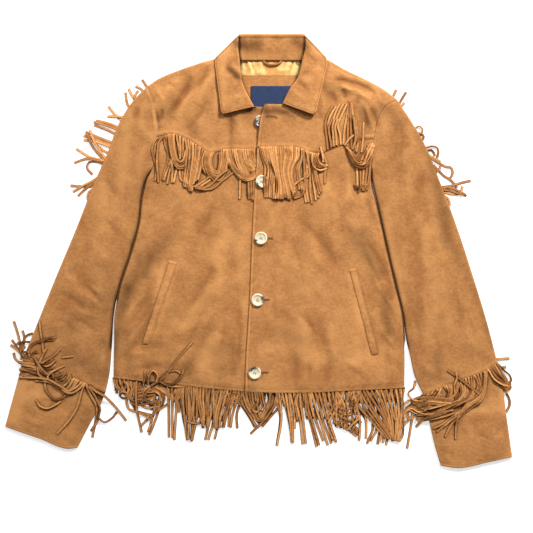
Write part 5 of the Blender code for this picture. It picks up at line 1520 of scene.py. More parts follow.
# Each bunch: strands, then the line of its first strand and of its last, from the root on. The
# strands between run evenly from the one to the other. A bunch may end with its own width (as a
# share of a strand's) and twist (degrees).
YOKE_RIGHT_BUNCHES = [
    (2, [(158.5, 137.5), (154.6, 143.4), (153, 149.5), (154.6, 158.8), (156.4, 165), (156.6, 174),
         (155.2, 181.5)],
        [(163.8, 137), (159.2, 143.4), (158.3, 151), (158, 160), (158.2, 167), (158.6, 174), (158.6, 182)],
     1.0, 20),
    (3, [(164.6, 136.5), (166.2, 146.5), (168.6, 154), (168, 162.6), (165, 171), (162.5, 180.3)],
        [(168.5, 136), (171, 147), (172.5, 155.7), (171.6, 166.5), (169.8, 175.7), (168.3, 184)]),
    (2, [(172, 160), (173, 171), (172.2, 183)], [(178, 166), (175.8, 178), (174.4, 183.6)], 0.9, 0, 0.6),
    (1, [(180, 170), (180.5, 176), (182, 180.5), (184.5, 182)], None, 0.9),
    (3, [(177, 134.9), (178.5, 145), (179.5, 154), (180.5, 159)],
        [(184, 137.4), (183.5, 146), (183, 153), (182, 159)], 0.9),
    (4, [(168.8, 135.2), (171, 148), (173, 158), (176, 165.5), (180, 169), (184, 168), (186.5, 163),
         (187.7, 157)],
        [(174.5, 134.8), (175, 146), (176.5, 155), (178.5, 161), (181, 163), (183.3, 161.5), (185, 157.5),
         (186, 151)]),
    (3, [(185.5, 138.3), (187.6, 151), (187, 162.6), (185.6, 174), (183.6, 187)],
        [(191, 140.6), (192, 155), (190.8, 168), (188.8, 180), (187, 189)], 0.95, 0, 0.7),
    (3, [(193.4, 141.4), (193.6, 156), (192.4, 168), (190.6, 180), (188.9, 192)],
        [(199, 144.8), (197.8, 156), (196, 168), (193.6, 180), (191.8, 192.6)], 0.95, 0, 0.7),
    (3, [(201, 146), (199.4, 156), (198, 168), (195.6, 179), (194, 184)],
        [(207, 150), (203, 159), (201, 169), (199.2, 177), (198, 181)], 0.95, 0, 0.7),
    (2, [(206, 150.5), (203, 160), (204, 169), (209, 177)],
        [(209, 152), (205.5, 161), (207, 170), (212, 178)], 0.9, 30),
    (4, [(222, 149.8), (221, 158), (219, 168), (217, 171)],
        [(229, 149), (228.5, 160), (226, 168), (221, 175)]),
    (5, [(208, 151.6), (205.5, 160), (207, 170), (212, 178), (217, 181), (223, 178), (226.5, 169),
         (227.5, 155)],
        [(215, 151.2), (212, 160), (213, 167), (216, 171.5), (218.5, 172), (220, 167), (220.5, 160),
         (220, 153)]),
    (2, [(195, 187.5), (203, 182), (209, 177.5)], [(196, 189), (204, 184.5), (210.5, 179)]),
    (2, [(197.5, 187), (205, 188), (212, 184.5), (219, 177.5), (228, 171.5)],
        [(198, 189), (207, 190), (213, 189), (222, 182), (233, 174)]),
    (3, [(248, 148.8), (248.5, 165), (248.5, 182), (248.7, 196)],
        [(253.6, 148.3), (253.8, 165), (253.4, 180), (253, 192)], 1.0, 0, 0.5),
    (3, [(248.5, 176), (249, 188), (249.3, 199.5)], [(254, 176), (253.8, 188), (253.3, 200.3)], 0.9, 0,
     0.5),
    (1, [(239, 149), (240, 160), (240.3, 175), (240.2, 188), (239.8, 199.4)], None, 1.15),
    (7, [(230.5, 149), (232, 158), (236, 168), (242, 175)],
        [(243, 148.8), (243.5, 160), (246, 170), (250, 176.5)], 1.0, 0, 0.5),
    (8, [(239, 148.9), (239.6, 158), (242.5, 165), (248, 171), (255, 174.5)],
        [(254.2, 148.3), (254.4, 152), (254.6, 156), (255, 160), (255.4, 164)], 1.0, 0, 0.4),
    (4, [(226.3, 149.2), (228, 160), (231.5, 169), (238, 177), (245, 181), (251, 180.5), (255.6, 178)],
        [(230.3, 149.1), (232, 160), (236, 167.5), (241, 173.8), (246, 176.6), (251, 175.8), (255.6, 173)],
        1.0, 0, 0.5),
]
YOKE_LEFT_BUNCHES = [
    (5, [(260, 146.5), (262, 157), (265.5, 168), (264.6, 183), (264.6, 198.5)],
        [(266.5, 146.5), (269.5, 159), (275.5, 168), (274.5, 183), (274, 199)], 1.0, 0),
    (9, [(268.5, 146.5), (271, 160), (275, 172), (277, 186), (275, 199)],
        [(287, 147), (286.5, 160), (284.5, 171), (287, 184), (290, 199)], 1.15),
    (6, [(287.5, 147.2), (288, 160), (286, 172), (289, 186), (292, 198.5)],
        [(298.5, 148), (298, 158), (292.5, 167), (291.5, 177), (295.5, 190)]),
    (2, [(301.4, 148.8), (300.6, 158), (296.5, 168), (297, 178), (299, 191)],
        [(302, 149), (301.6, 160), (299, 170), (301, 182), (303, 193)], 0.9),
    (3, [(305.2, 149.8), (305.2, 160), (303.6, 172), (302.5, 188), (305, 203)],
        [(310, 151.5), (309.6, 162), (309.5, 176), (309.5, 190), (311.5, 203.5)], 0.95),
    (1, [(306, 150.5), (308.5, 165), (308.5, 176), (300, 180.5), (293.5, 186.5), (291, 191.5)], None),
    (1, [(303, 149), (304.5, 178), (304.5, 188), (301, 196), (294, 198.5)], None),
    (4, [(311, 152), (311.5, 166), (313, 182), (316, 201)],
        [(316.5, 153), (314.5, 166), (317.5, 180), (321.5, 193)]),
    (1, [(322, 152.8), (326, 163), (325, 172), (324.3, 184)], None),
    (4, [(312.5, 152.5), (311.5, 161), (314, 168), (320, 170.5), (327, 168)],
        [(319, 153), (317, 157), (318.5, 162), (322.5, 165), (327, 165)], 0.55, 62),
    (1, [(323, 163), (322.5, 157), (321.5, 152), (320.3, 147.5)], None),
    (5, [(327.5, 150.5), (326.2, 138), (325, 126), (327, 116), (332.5, 107)],
        [(340.5, 145.5), (339.5, 135), (337.5, 127), (341, 117), (346.5, 105)]),
    (3, [(331, 148), (329.5, 136), (329, 128), (331.5, 121)],
        [(336, 146), (335.5, 136), (334.5, 127), (336.5, 120.5)]),
    (4, [(343, 145.5), (343.5, 134), (345.5, 122), (349, 102)],
        [(355, 152), (354.5, 138), (352.5, 122), (350.8, 103)]),
    (1, [(344, 146), (348, 140.5), (353, 136)], None),
    (2, [(352, 150), (355, 140), (354, 128), (353.5, 119)],
     [(356, 153), (357.5, 142), (356.5, 130), (355.5, 121)]),
    (1, [(361, 153), (362.5, 140), (363, 123)], None),
    (5, [(356, 164), (356.5, 175), (357, 190)], [(371, 156), (369, 173), (366.5, 191)]),
    (5, [(345.5, 147), (349.5, 158), (355, 167), (362.5, 169), (369, 162), (371.5, 153), (371.5, 147)],
        [(349, 151), (353, 157.5), (357, 161.5), (362, 161), (365.5, 156), (367, 149), (367, 145)], 0.8,
     55),
    (3, [(359, 165.5), (363.5, 155), (370, 143.5)], [(364.5, 167.5), (369, 157.5), (374, 146)]),
    (2, [(354, 184), (357, 188), (362, 186)], [(358, 192), (361, 187), (366, 184)], 0.8, 30),
]
HEM_RIGHT_BUNCHES = [
    (3, [(114, 378), (116, 386), (121, 390.5), (126, 394)],
     [(120, 378.8), (122, 386), (125, 391), (128.5, 396)]),
    (1, [(129, 393), (122, 391.5), (119.8, 395), (123.5, 398.3), (129, 397)], None, 0.6, 55),
    (2, [(124, 379.5), (130, 390), (131, 400), (137, 411)],
     [(128, 380), (134, 392), (135, 402), (138, 412)]),
    (3, [(153, 386), (161, 389.5), (164.5, 396), (163, 404), (158, 410), (153, 410)],
        [(151, 390), (158, 392.5), (160.5, 397), (159.5, 403), (156, 406.5), (150, 407)], 0.85, 25, 1.2),
    (3, [(137, 400), (143, 405.5), (151, 407.5), (158, 404), (160, 398)],
        [(139, 396), (146, 400), (152, 402), (155, 398.5), (152, 394)], 0.8, 30, 1.4),
    (5, [(138, 386.5), (143, 386), (150, 388), (156, 387)],
     [(138, 399), (144, 397), (150, 396.5), (157, 394)], 0.7, 30, 1.6),
    (1, [(158, 383), (150, 386), (144, 392), (147, 400), (154, 404), (160, 400), (159, 392), (153, 388.5)],
        None, 0.75, 40),
    (2, [(128, 397), (137, 401.5), (146, 398.5), (156, 396)],
     [(130, 402), (138, 404.5), (148, 402), (158, 399)],
        0.8, 25, 1.6),
    (2, [(148.5, 381.5), (145, 389), (143, 396), (138, 400.5)],
     [(153, 383.5), (148.5, 389), (145.5, 394), (140, 399)],
        0.95, 0, 0.5),
    (2, [(127, 380.5), (129.5, 388), (128.5, 396)], [(135, 382), (132, 391), (129, 398)]),
    (1, [(131, 380.5), (132.5, 388), (127, 402), (129, 408.5), (138, 411.5), (151, 415)], None, 0.8, 25),
    (1, [(137, 381), (136.6, 396), (137.2, 410), (141.7, 432.3)], None, 1.2, 0),
    (3, [(155, 385.5), (163, 391), (169, 397), (174.5, 402.5)],
     [(160, 383.2), (167, 390), (172, 395), (177, 400)], 1.0, 0),
    (2, [(160, 400), (157, 416), (149.7, 435.5)], [(156, 402), (152.5, 416), (147.3, 431.5)]),
    (1, [(169, 403.5), (158, 410), (149, 418), (141.3, 425.5)], None),
    (1, [(139, 412), (146, 416), (152, 421)], None),
    (1, [(169, 383.7), (168.7, 398), (168.8, 415), (169, 437.5)], None),
    (2, [(172.5, 384.1), (172.7, 400), (172.4, 420), (172.3, 438.7)],
        [(176, 384.4), (176.5, 400), (175.6, 420), (175, 438.7)]),
    (1, [(179.7, 384.8), (179.5, 398), (179, 412.5)], None),
    (3, [(179, 384.7), (178, 391), (176, 398)], [(185, 385.2), (182, 392), (180, 399)]),
    (7, [(181.5, 385), (181, 400), (183, 418), (186.5, 440)],
     [(196.5, 386.5), (197, 400), (196, 418), (192.7, 440.5)], 1.2),
    (2, [(186, 385.3), (189, 398), (191, 409), (192, 421)],
     [(197, 386.6), (194, 398), (193, 408), (194.5, 420)]),
    (2, [(186.5, 420.5), (196, 423), (208, 421)], [(199, 419.5), (204, 422.5), (211, 424)], 0.8, 20),
    (6, [(197.5, 386.8), (198, 398), (200.5, 412), (202, 427)],
     [(213, 388.4), (212, 402), (211, 414), (209.5, 427)], 1.15),
    (3, [(222, 391), (228, 395), (236, 394), (245, 399)], [(222, 397), (229, 401), (238, 399), (248, 405)],
     0.6, 30, 1.4),
    (2, [(226, 390), (229, 396), (226, 402), (220, 406)], [(238, 391), (240, 398), (236, 404), (230, 407)],
     0.6, 30),
    (3, [(206, 387.7), (208, 405), (207.5, 425), (204.3, 438.2)],
        [(221, 389), (220, 405), (217.5, 425), (214, 438.7)]),
    (6, [(219, 389), (216, 400), (213.5, 414), (214, 427.5)],
     [(234, 390), (231, 400), (226.5, 414), (223, 427.5)]),
    (3, [(236, 390.2), (233, 402), (230, 414), (228, 427.7)],
     [(242, 390.6), (240, 403), (237, 414), (236.3, 428.3)]),
    (4, [(237, 400), (243, 408), (249, 417), (254, 426.3)],
     [(246, 391), (247, 401), (254, 413), (264.5, 425)]),
    (5, [(243.5, 391), (245.5, 402), (251, 412), (259, 420.5), (267, 417), (274, 407), (278, 394)],
        [(255, 391.5), (256, 400), (258.5, 408), (262, 416), (266, 410), (269.5, 402), (270, 392)], 0.85,
     10, 1.3),
    (3, [(257, 391.6), (258, 398), (257, 404), (253, 409), (258, 411), (261, 406)],
        [(262, 391.8), (263.5, 399), (265, 406), (264, 409), (268, 409), (269, 404)], 0.7, 25, 1.3),
    (1, [(262, 391.8), (263.3, 399), (265, 406), (263.5, 412)], None, 0.95, 0),
    (2, [(281, 397), (270, 411.5), (260, 423), (249.7, 432.7)],
     [(284, 399), (276, 412), (269, 420), (263, 427.5)]),
    (1, [(187, 385.5), (177, 386), (166, 384.5), (161, 380), (164, 374.5), (170, 371), (177, 370),
         (182, 373)],
        None, 0.7, 45),
    (1, [(184, 369), (182, 375), (176, 381.5), (168, 384.8), (161.5, 381)], None, 0.85, 30),
    (1, [(155, 383.5), (162, 379), (178, 358), (193.2, 341.3)], None, 0.45, 62),
    (1, [(149, 383), (150, 375), (154, 370), (158, 374), (157, 380.5), (152, 385)], None, 0.7, 45),
    (1, [(144, 383), (146, 376), (145.5, 370.5)], None, 0.6, 40),
]
HEM_LEFT_BUNCHES = [
    (2, [(276.5, 392), (277.5, 402), (280, 414), (276.3, 444)],
     [(279, 392.3), (280, 402), (281, 414), (277.2, 444)], 0.75),
    (3, [(282, 392.5), (285, 405), (288.5, 424), (292, 444.3)],
     [(289, 392.6), (290, 405), (292.5, 424), (293.5, 443.5)]),
    (3, [(290, 392.6), (292, 402), (294, 414), (295.5, 428)],
     [(298, 392.5), (297, 402), (298, 411), (298.5, 418)]),
    (2, [(294, 392.6), (297, 405), (300.5, 424), (302.8, 444.3)],
     [(300, 392.5), (300.5, 405), (302.5, 424), (305, 443.8)]),
    (3, [(303, 392.4), (306, 408), (311, 425), (316, 445.3)],
     [(308.5, 392.2), (311, 408), (316.5, 425), (322.3, 442)]),
    (2, [(304.5, 392.4), (305.5, 404), (305, 415)], [(310, 392.2), (312, 404), (314, 416)]),
    (4, [(311.5, 392.1), (316.5, 408), (322, 425), (327.7, 444)],
     [(322.5, 391.8), (326, 408), (330.5, 424), (336.8, 441)]),
    (5, [(324, 391.7), (326.5, 404), (332, 416), (336, 428)],
     [(341, 391.2), (343, 402), (345, 414), (345, 427.5)]),
    (5, [(338, 391.3), (334, 402), (329, 412), (325, 420)],
     [(360, 390.2), (356.5, 404), (347, 418), (341, 427.5)]),
    (3, [(330, 412), (338, 424), (348, 430.5), (359, 437.7)],
     [(336, 400), (343, 414), (353, 424), (361, 432)], 0.6, 40, 1.5),
    (5, [(338, 406), (346, 410), (354, 409), (360, 412)], [(340, 424), (347, 428), (354, 426), (361, 430)],
     0.5, 45, 2.2),
    (4, [(340, 400), (343, 410), (341, 420), (343, 427)], [(358, 398), (354, 409), (356, 420), (352, 430)],
     0.5, 45, 2.2),
    (2, [(350, 391), (348.5, 399), (352, 405.5), (357.5, 402), (356, 395)],
        [(352, 391), (350.5, 398), (353, 402.5), (355.5, 400), (354.5, 395)], 0.6, 40),
    (1, [(336, 391.5), (336, 408), (336.3, 424)], None, 0.95, 0),
    (1, [(337.5, 391.5), (343, 402), (344.5, 415), (344.7, 428)], None, 0.95, 0),
    (1, [(360, 417), (353, 423), (346, 430)], None, 0.85, 0),
    (2, [(353, 390.5), (356, 404), (360, 420), (359.8, 440)],
     [(358, 390.3), (362, 404), (365, 420), (364.6, 440)]),
    (3, [(373, 415), (373, 428), (367.5, 442)], [(383, 420), (380, 430), (377, 443)]),
    (3, [(380, 420), (380.5, 432), (380, 443.5)], [(390, 420), (389, 432), (386.5, 444)]),
    (8, [(366, 390), (374, 402), (382, 418), (389.5, 438)],
     [(400.5, 388.4), (401.5, 402), (400.5, 420), (399, 442)], 1.15),
    (2, [(390, 389), (394, 402), (397, 420), (398, 441)],
     [(399, 388.6), (402, 402), (402.5, 418), (401.5, 434)], 0.9),
    (1, [(400, 420), (402, 427), (402, 435), (399, 441)], None, 0.6, 40),
    (2, [(379, 389.5), (380, 398), (383, 408), (388, 418)],
     [(392, 388.8), (389, 396), (391, 408), (395, 420)]),
    (5, [(352.5, 390.5), (358, 404), (371, 420), (388, 438.3)],
     [(366.5, 390), (374, 402), (385, 420), (396, 438.7)]),
]
HEM_BACK_BUNCHES = [
    (5, [(118, 379), (120, 385), (124, 390), (127, 392)], [(135, 381), (138, 390), (145, 398), (150, 400)]),
    (10, [(182, 385), (184, 395), (186, 405), (187, 415)],
     [(234, 390), (231, 400), (226, 410), (222, 420)]),
    (12, [(286, 392.5), (288, 400), (290, 410), (292, 420)],
     [(346, 391), (346, 400), (346, 410), (346, 418)]),
    (10, [(352, 390.5), (356, 400), (361, 410), (366, 418)],
     [(400, 388.5), (400, 400), (399, 415), (397, 432)]),
]
CUFF_RIGHT_BUNCHES = [
    # past the outer fold
    (1, [(25, 356.5), (21, 347), (18.5, 336), (16.5, 329), (13.8, 321)], None, 1.05, 0),
    (1, [(25, 356), (21.5, 350), (24, 343), (24.3, 337), (22.5, 330.3)], None, 0.9, 0),
    (1, [(25, 357), (19.5, 351), (15.5, 345), (12, 339.7)], None, 1.15, 0),
    (1, [(24, 355.5), (18, 350), (14.5, 347.3), (10.5, 345.2)], None, 0.95, 0),
    (1, [(24, 355), (21, 349.5), (24.5, 340.5), (27.5, 335.5), (33.5, 333.3)], None, 0.6, 40),
    (1, [(32, 342), (24, 342), (17, 343.8)], None, 0.6, 40),
    (1, [(26, 363.5), (20, 362), (15.5, 358), (13.5, 352.8)], None, 0.5, 50),
    (1, [(27, 357.5), (22, 355.5), (21.8, 351), (25.7, 346)], None, 0.55, 45),
    # on the sleeve
    (1, [(44.5, 351), (44, 343), (42, 332), (40.5, 321)], None, 0.95, 0),
    (1, [(31, 357), (30, 352), (31.5, 346.5), (36, 343), (44, 340.5), (56, 339)], None, 0.6, 30),
    (1, [(43.5, 339.3), (50, 338), (57.5, 336.7)], None, 0.7, 20),
    (1, [(33, 354), (36, 352), (39.5, 351.5)], None, 0.7, 30),
    (1, [(24, 351.8), (30.5, 351.5)], None, 0.4, 40),
    # nearly level ones toward the fold
    (7, [(33, 361), (28, 360), (22.5, 359.5)], [(49, 376.2), (36, 374.8), (21, 374.5)], 0.75, 15, 1.3),
    (4, [(40, 368), (32, 365), (24, 362.5)], [(44, 374.5), (33, 371.5), (22.5, 370)], 0.6, 30, 1.3),
    # nested loops
    (4, [(42, 366), (46, 368.5), (52, 367.8), (57.5, 363)],
     [(43, 361.5), (47, 364), (51, 362.5), (54, 359)], 0.5, 40),
    (3, [(39.5, 365), (40, 370), (43.5, 374.5), (49, 376.5)],
     [(42, 367), (43, 371), (46, 373), (50, 373.5)], 0.6, 25),
    (3, [(54, 376), (57, 380), (63, 379), (69, 374)], [(52, 371), (56, 375.5), (61, 375), (66, 371)], 0.6,
     30),
    (4, [(60, 383.5), (66, 386), (70.5, 382), (73, 375)],
     [(57, 379), (63, 382.5), (67.5, 379), (69.5, 373)], 0.62, 25),
    (1, [(79, 379.5), (75, 384.5), (70, 391), (64.5, 396.5), (57.5, 399), (50.5, 394), (46.8, 387),
         (46, 380)],
        None, 0.8, 30),
    (1, [(62, 400.5), (55, 405), (48, 407.4), (41, 404.5), (37.7, 399)], None, 0.9, 30),
    (6, [(74, 375.5), (72, 381), (69, 386), (65, 390)], [(84, 381), (81, 385.5), (77, 389.5), (71, 393)],
     0.68, 12),
    (2, [(85.5, 382), (80, 388), (71.5, 392), (60, 386.3), (49.5, 380.8), (36, 379)],
        [(83.5, 381), (77.5, 386.3), (71, 389.7), (61, 384.5), (50, 379.3), (20, 377.3)], 1.1, 0),
    # plain broad ones on top
    (1, [(50, 379), (49.3, 376), (51, 373), (57, 369), (65.7, 365)], None, 1.1, 0),
    (1, [(50, 374), (45, 369.3), (40, 363), (35.7, 356.5)], None, 1.2, 0),
    (1, [(41, 362), (44, 354.5), (47.8, 347.8)], None, 0.95, 8),
    (1, [(42.5, 362.5), (49, 358.8), (55, 355), (61.5, 348.5)], None, 0.9, 8),
    (1, [(63, 356.8), (74.5, 355.4)], None, 1.0, 0),
    # at the inner fold
    (1, [(86, 382.5), (82.5, 392), (78.5, 406), (70.5, 419), (58, 432.8)], None, 0.85, 0),
    (3, [(88, 383), (91, 388), (96, 392), (101, 396)], [(91, 384.5), (96, 388), (102, 391.5), (106, 393)]),
    (2, [(87, 382.7), (92.5, 395), (98, 406), (97, 418), (92.6, 438.8)],
        [(89, 383.3), (96, 396), (99, 407), (97, 419), (90, 430.3)], 1.0, 0),
    (1, [(90, 384), (97, 390), (104, 394.5), (114, 405), (126.3, 420.7)], None, 1.2, 0),
    (1, [(99, 400), (101, 410), (99.3, 416), (104.5, 421.6), (111, 418.5), (117.3, 411.5)], None, 0.4, 75),
]
CUFF_LEFT_BUNCHES = [
    (1, [(494, 359.5), (502, 358.7), (509.3, 358.4)], None, 1.2, 0),
    (1, [(497, 367.7), (506, 367.2)], None, 1.1, 0),
    (1, [(497, 364), (503, 370), (509.5, 375.5), (510.5, 380.5), (507, 383.7), (500, 381)], None, 0.5, 60),
    (1, [(494, 376), (500, 384), (505, 392), (509, 400), (509, 406), (506, 412)], None, 0.8, 35),
    (5, [(486.5, 368), (494, 379), (502.5, 384), (510.7, 387), (504, 393)],
        [(496, 362.5), (500, 370), (503, 376), (506, 381.5), (503, 385)], 0.9, 20),
    (5, [(425, 393.2), (420, 397), (413, 402), (408, 409), (404, 416)],
     [(441, 386.3), (437, 394), (428, 398), (418, 402), (409, 408)],
        0.9, 20),
    (3, [(436, 388.5), (440, 396), (430, 404), (422, 410), (412, 411), (404.5, 409)],
        [(440, 386.8), (433, 399), (426, 405), (418, 403), (411, 401), (405, 404.5)], 0.85, 35),
    (4, [(443, 385.3), (447, 392), (442, 399), (430, 397.5), (421, 396.5), (412, 400)],
        [(450, 382.7), (450, 393), (444, 401), (434, 403), (424, 404), (414, 409)]),
    (1, [(430, 398), (422, 400), (412, 399), (408.3, 393), (414, 387.5), (415, 380.5)], None, 0.5, 55),
    (4, [(448, 383.3), (453, 384.5), (453.5, 391), (447, 396.5)],
     [(454, 381.2), (456, 385), (454, 391), (448, 397)]),
    (7, [(456, 381), (460, 391), (455, 399), (440, 404), (427, 407), (413, 411)],
        [(473, 374), (472, 388), (467, 397), (452, 403.5), (436, 411), (417, 418.5)], 0.66, 12),
    (5, [(473, 374), (477, 384), (472, 393), (459, 400), (445, 407), (430, 412), (415, 418)],
        [(485.5, 368.5), (484.5, 386), (477.5, 397), (465, 405), (452, 413), (437, 418), (418, 422)], 0.72,
     12),
    (4, [(452, 398), (440, 397), (428, 396), (421, 398)], [(452, 404), (440, 403), (430, 401), (422, 401)],
     0.8, 10),
    (1, [(429, 401), (427, 407), (420, 411), (413, 412)], None, 0.7, 20),
    (3, [(440, 408), (428, 412), (420, 409), (413, 404), (406, 407), (407, 414)],
        [(436, 412), (424, 414), (414, 412), (408, 409), (405, 413), (410, 418)], 0.55, 45, 1.5),
    (2, [(452, 409), (440, 411), (428, 415), (417, 426)],
     [(440, 411), (425, 413), (411.5, 416), (403, 423)], 0.9, 15),
    (1, [(412, 412), (411.5, 421), (410, 431), (407, 448.5)], None),
    (1, [(483.5, 371), (479, 394), (467, 403), (455, 412.5), (446, 420), (433, 427.5)], None),
    (1, [(484, 372), (480, 395), (467, 405.5), (455, 415), (446, 422), (436, 430.7)], None),
    (1, [(485, 373), (481, 397), (468, 408), (457, 416), (450, 424), (444, 435.8)], None, 1.1, 0),
    (1, [(472, 394), (464, 404), (457, 414), (455, 426), (454.4, 438.3)], None),
    (1, [(446.5, 369.5), (455.3, 375.5), (468, 385.5), (478, 393)], None),
    (1, [(455, 371.5), (455.5, 377), (453, 384), (453.5, 392.5)], None, 0.7, 20),
]
ARM_RIGHT_BUNCHES = [
    (1, [(149, 90), (146, 85.5), (142.3, 79.8)], None),
    (1, [(144, 93), (141.5, 89.3), (135.6, 86.3)], None, 0.7),
    (1, [(138, 103.5), (133, 97), (128.8, 88.8)], None, 1.15),
    (1, [(136, 102), (135, 97), (138, 90.6)], None, 0.5),
    (1, [(132, 111), (127.6, 104.5), (125.6, 92.5)], None, 0.6),
    (1, [(126, 124), (115, 114.4), (108.4, 106.3)], None, 0.65),
    (1, [(127, 118), (115, 116.5), (107.5, 116.6)], None),
    (1, [(122, 129), (107.5, 123.2), (96.3, 120.6)], None),
    (1, [(121, 131), (106, 125.4), (94, 122)], None, 0.8),
    (1, [(120, 136.5), (106.3, 129.4), (94.4, 125)], None),
    (1, [(116, 144), (100, 138), (85.6, 132)], None),
    (1, [(115.5, 147), (97.5, 140.2), (83.8, 135.6)], None),
    (1, [(113.5, 148.5), (102.5, 143.8), (91.3, 140.8), (83.8, 140)], None, 0.8),
    (1, [(110, 154), (102.5, 150), (95, 143.8)], None, 0.5),
    (1, [(107, 161), (95, 142.5), (90, 130)], None, 0.7),
    (1, [(107.5, 164), (91.9, 145), (86.9, 132.5)], None, 0.9),
    (1, [(107, 161.5), (90, 157), (76.3, 148.8)], None),
    (1, [(107, 163.5), (87.5, 158.8), (74.4, 162.8)], None, 0.7),
    (1, [(106, 165), (96, 162), (89, 163), (87.5, 167), (92.5, 174.8)], None, 0.5, 45),
    (1, [(98, 186.6), (80, 186.3), (70.6, 185.6)], None),
    (1, [(100, 176), (95, 179.5), (83.8, 185.6), (73, 192)], None),
    (1, [(98, 180), (87.5, 187.5), (78, 196)], None),
    (1, [(95, 190), (90, 191), (87.8, 195), (88, 200)], None, 0.8),
]
ARM_LEFT_BUNCHES = [
    (1, [(391, 101), (393.5, 96), (396.2, 89.8)], None),
    (1, [(397, 108), (401.5, 99.5), (406, 92.3)], None),
    (1, [(399, 109), (402, 105.6), (404.4, 102.8)], None, 0.9),
    (1, [(411, 131), (415.6, 127.6), (418.8, 126), (422.3, 128.8), (422.3, 132.8), (420, 135.6)], None,
     0.42, 55),
    (1, [(417, 133), (420.5, 133.6), (423, 135.2), (423.8, 137.5), (422, 140.5)], None, 0.42, 40),
    (1, [(421, 150), (427, 147.2), (432.5, 146), (437.5, 148.1), (438.5, 151.3), (436.9, 158.1)], None,
     0.42, 55),
    (1, [(423, 154), (428.1, 151), (430.6, 150.3), (433.1, 152.5), (435, 156)], None, 0.55, 40),
    (1, [(424, 152.5), (435, 158.8), (440.6, 161.9)], None),
    (1, [(429, 157), (440, 163.8), (446.3, 166.9), (450.6, 167.5), (452.5, 171.3), (451.9, 175.6),
         (449.4, 178.8)],
        None, 0.7),
    (1, [(433, 165), (439, 171), (443.8, 176), (449.4, 179.4), (455, 185), (456.9, 188.1)], None, 0.9),
    (1, [(435, 172), (439.4, 169.5), (440, 166)], None, 0.9),
    (1, [(437, 187.5), (451.3, 185.8), (461.3, 182.8), (470.6, 180.8)], None, 0.8),
    (1, [(438, 188), (451.3, 188.1), (460, 191.9), (466.5, 196)], None),
    (1, [(440, 190.5), (452.5, 194.2), (460, 193), (462.5, 186.3)], None, 0.8),
    (1, [(439, 189.5), (450, 190.8), (458.8, 193.8), (465, 194.4)], None, 0.8),
    (1, [(443, 196), (447.5, 198.1), (449.2, 201.3), (449.4, 206)], None, 0.7),
]


def on_cloth(points):
    """Points of the squared paper in millimetres on the jacket."""
    return [((column - GRID_CENTRE[0]) * SQUARE, (GRID_CENTRE[1] - row) * SQUARE)
            for column, row in points]


def strands_of(bunch, chance, ease):
    """The lines of a bunch's strands with their width and twist."""
    count, first, last = bunch[:3]
    width, twist, loose = bunch[3:] + (1.0, 0.0, 1.0)[len(bunch) - 3:]
    first = np.array(on_cloth(first))
    last = first if last is None else np.array(on_cloth(last))
    for k in range(count):
        share = k / (count - 1) if count > 1 else 0.0
        stray = loose * ease * np.array([chance.uniform(-2.2, 2.2), chance.uniform(-3.0, 3.0)])
        bend, wave = [loose * ease * chance.uniform(-reach, reach) for reach in (1.6, 1.0)]
        line = evenly(curve_through(first * (1 - share) + last * share, 8), 2.0)
        grow = np.linspace(0, 1, len(line))[:, None]
        if count > 1:
            line = line + stray * grow ** 1.6
            sway = bend * np.sin(np.pi * grow) + wave * np.sin(2.7 * np.pi * grow)
            line[:, 0] += sway[:, 0] * grow[:, 0] ** 0.4
        yield evenly(line, 2.0), width * chance.uniform(0.86, 1.06), twist


def tree_of(name, inputs):
    """A new tree of geometry nodes with geometry in and out and named inputs."""
    tree = bpy.data.node_groups.new(name, "GeometryNodeTree")
    tree.interface.new_socket("Geometry", in_out="OUTPUT", socket_type="NodeSocketGeometry")
    tree.interface.new_socket("Geometry", in_out="INPUT", socket_type="NodeSocketGeometry")
    for label, kind, default in inputs:
        socket = tree.interface.new_socket(label, in_out="INPUT", socket_type="NodeSocket" + kind)
        if default is not None:
            socket.default_value = default
    start, end = tree.nodes.new("NodeGroupInput"), tree.nodes.new("NodeGroupOutput")

    def add(kind, settings=None, inputs=None):
        node = tree.nodes.new(kind)
        for key, value in (settings or {}).items():
            setattr(node, key, value)
        for key, value in (inputs or {}).items():
            if isinstance(value, bpy.types.NodeSocket):
                tree.links.new(value, node.inputs[key])
            else:
                node.inputs[key].default_value = value
        return node

    def finish(geometry):
        real = add("GeometryNodeRealizeInstances", None, {"Geometry": geometry})
        dressed = add("GeometryNodeSetMaterial", None,
                      {"Geometry": real.outputs[0], "Material": start.outputs["Material"]})
        tree.links.new(dressed.outputs[0], end.inputs[0])
    return tree, start.outputs, add, finish


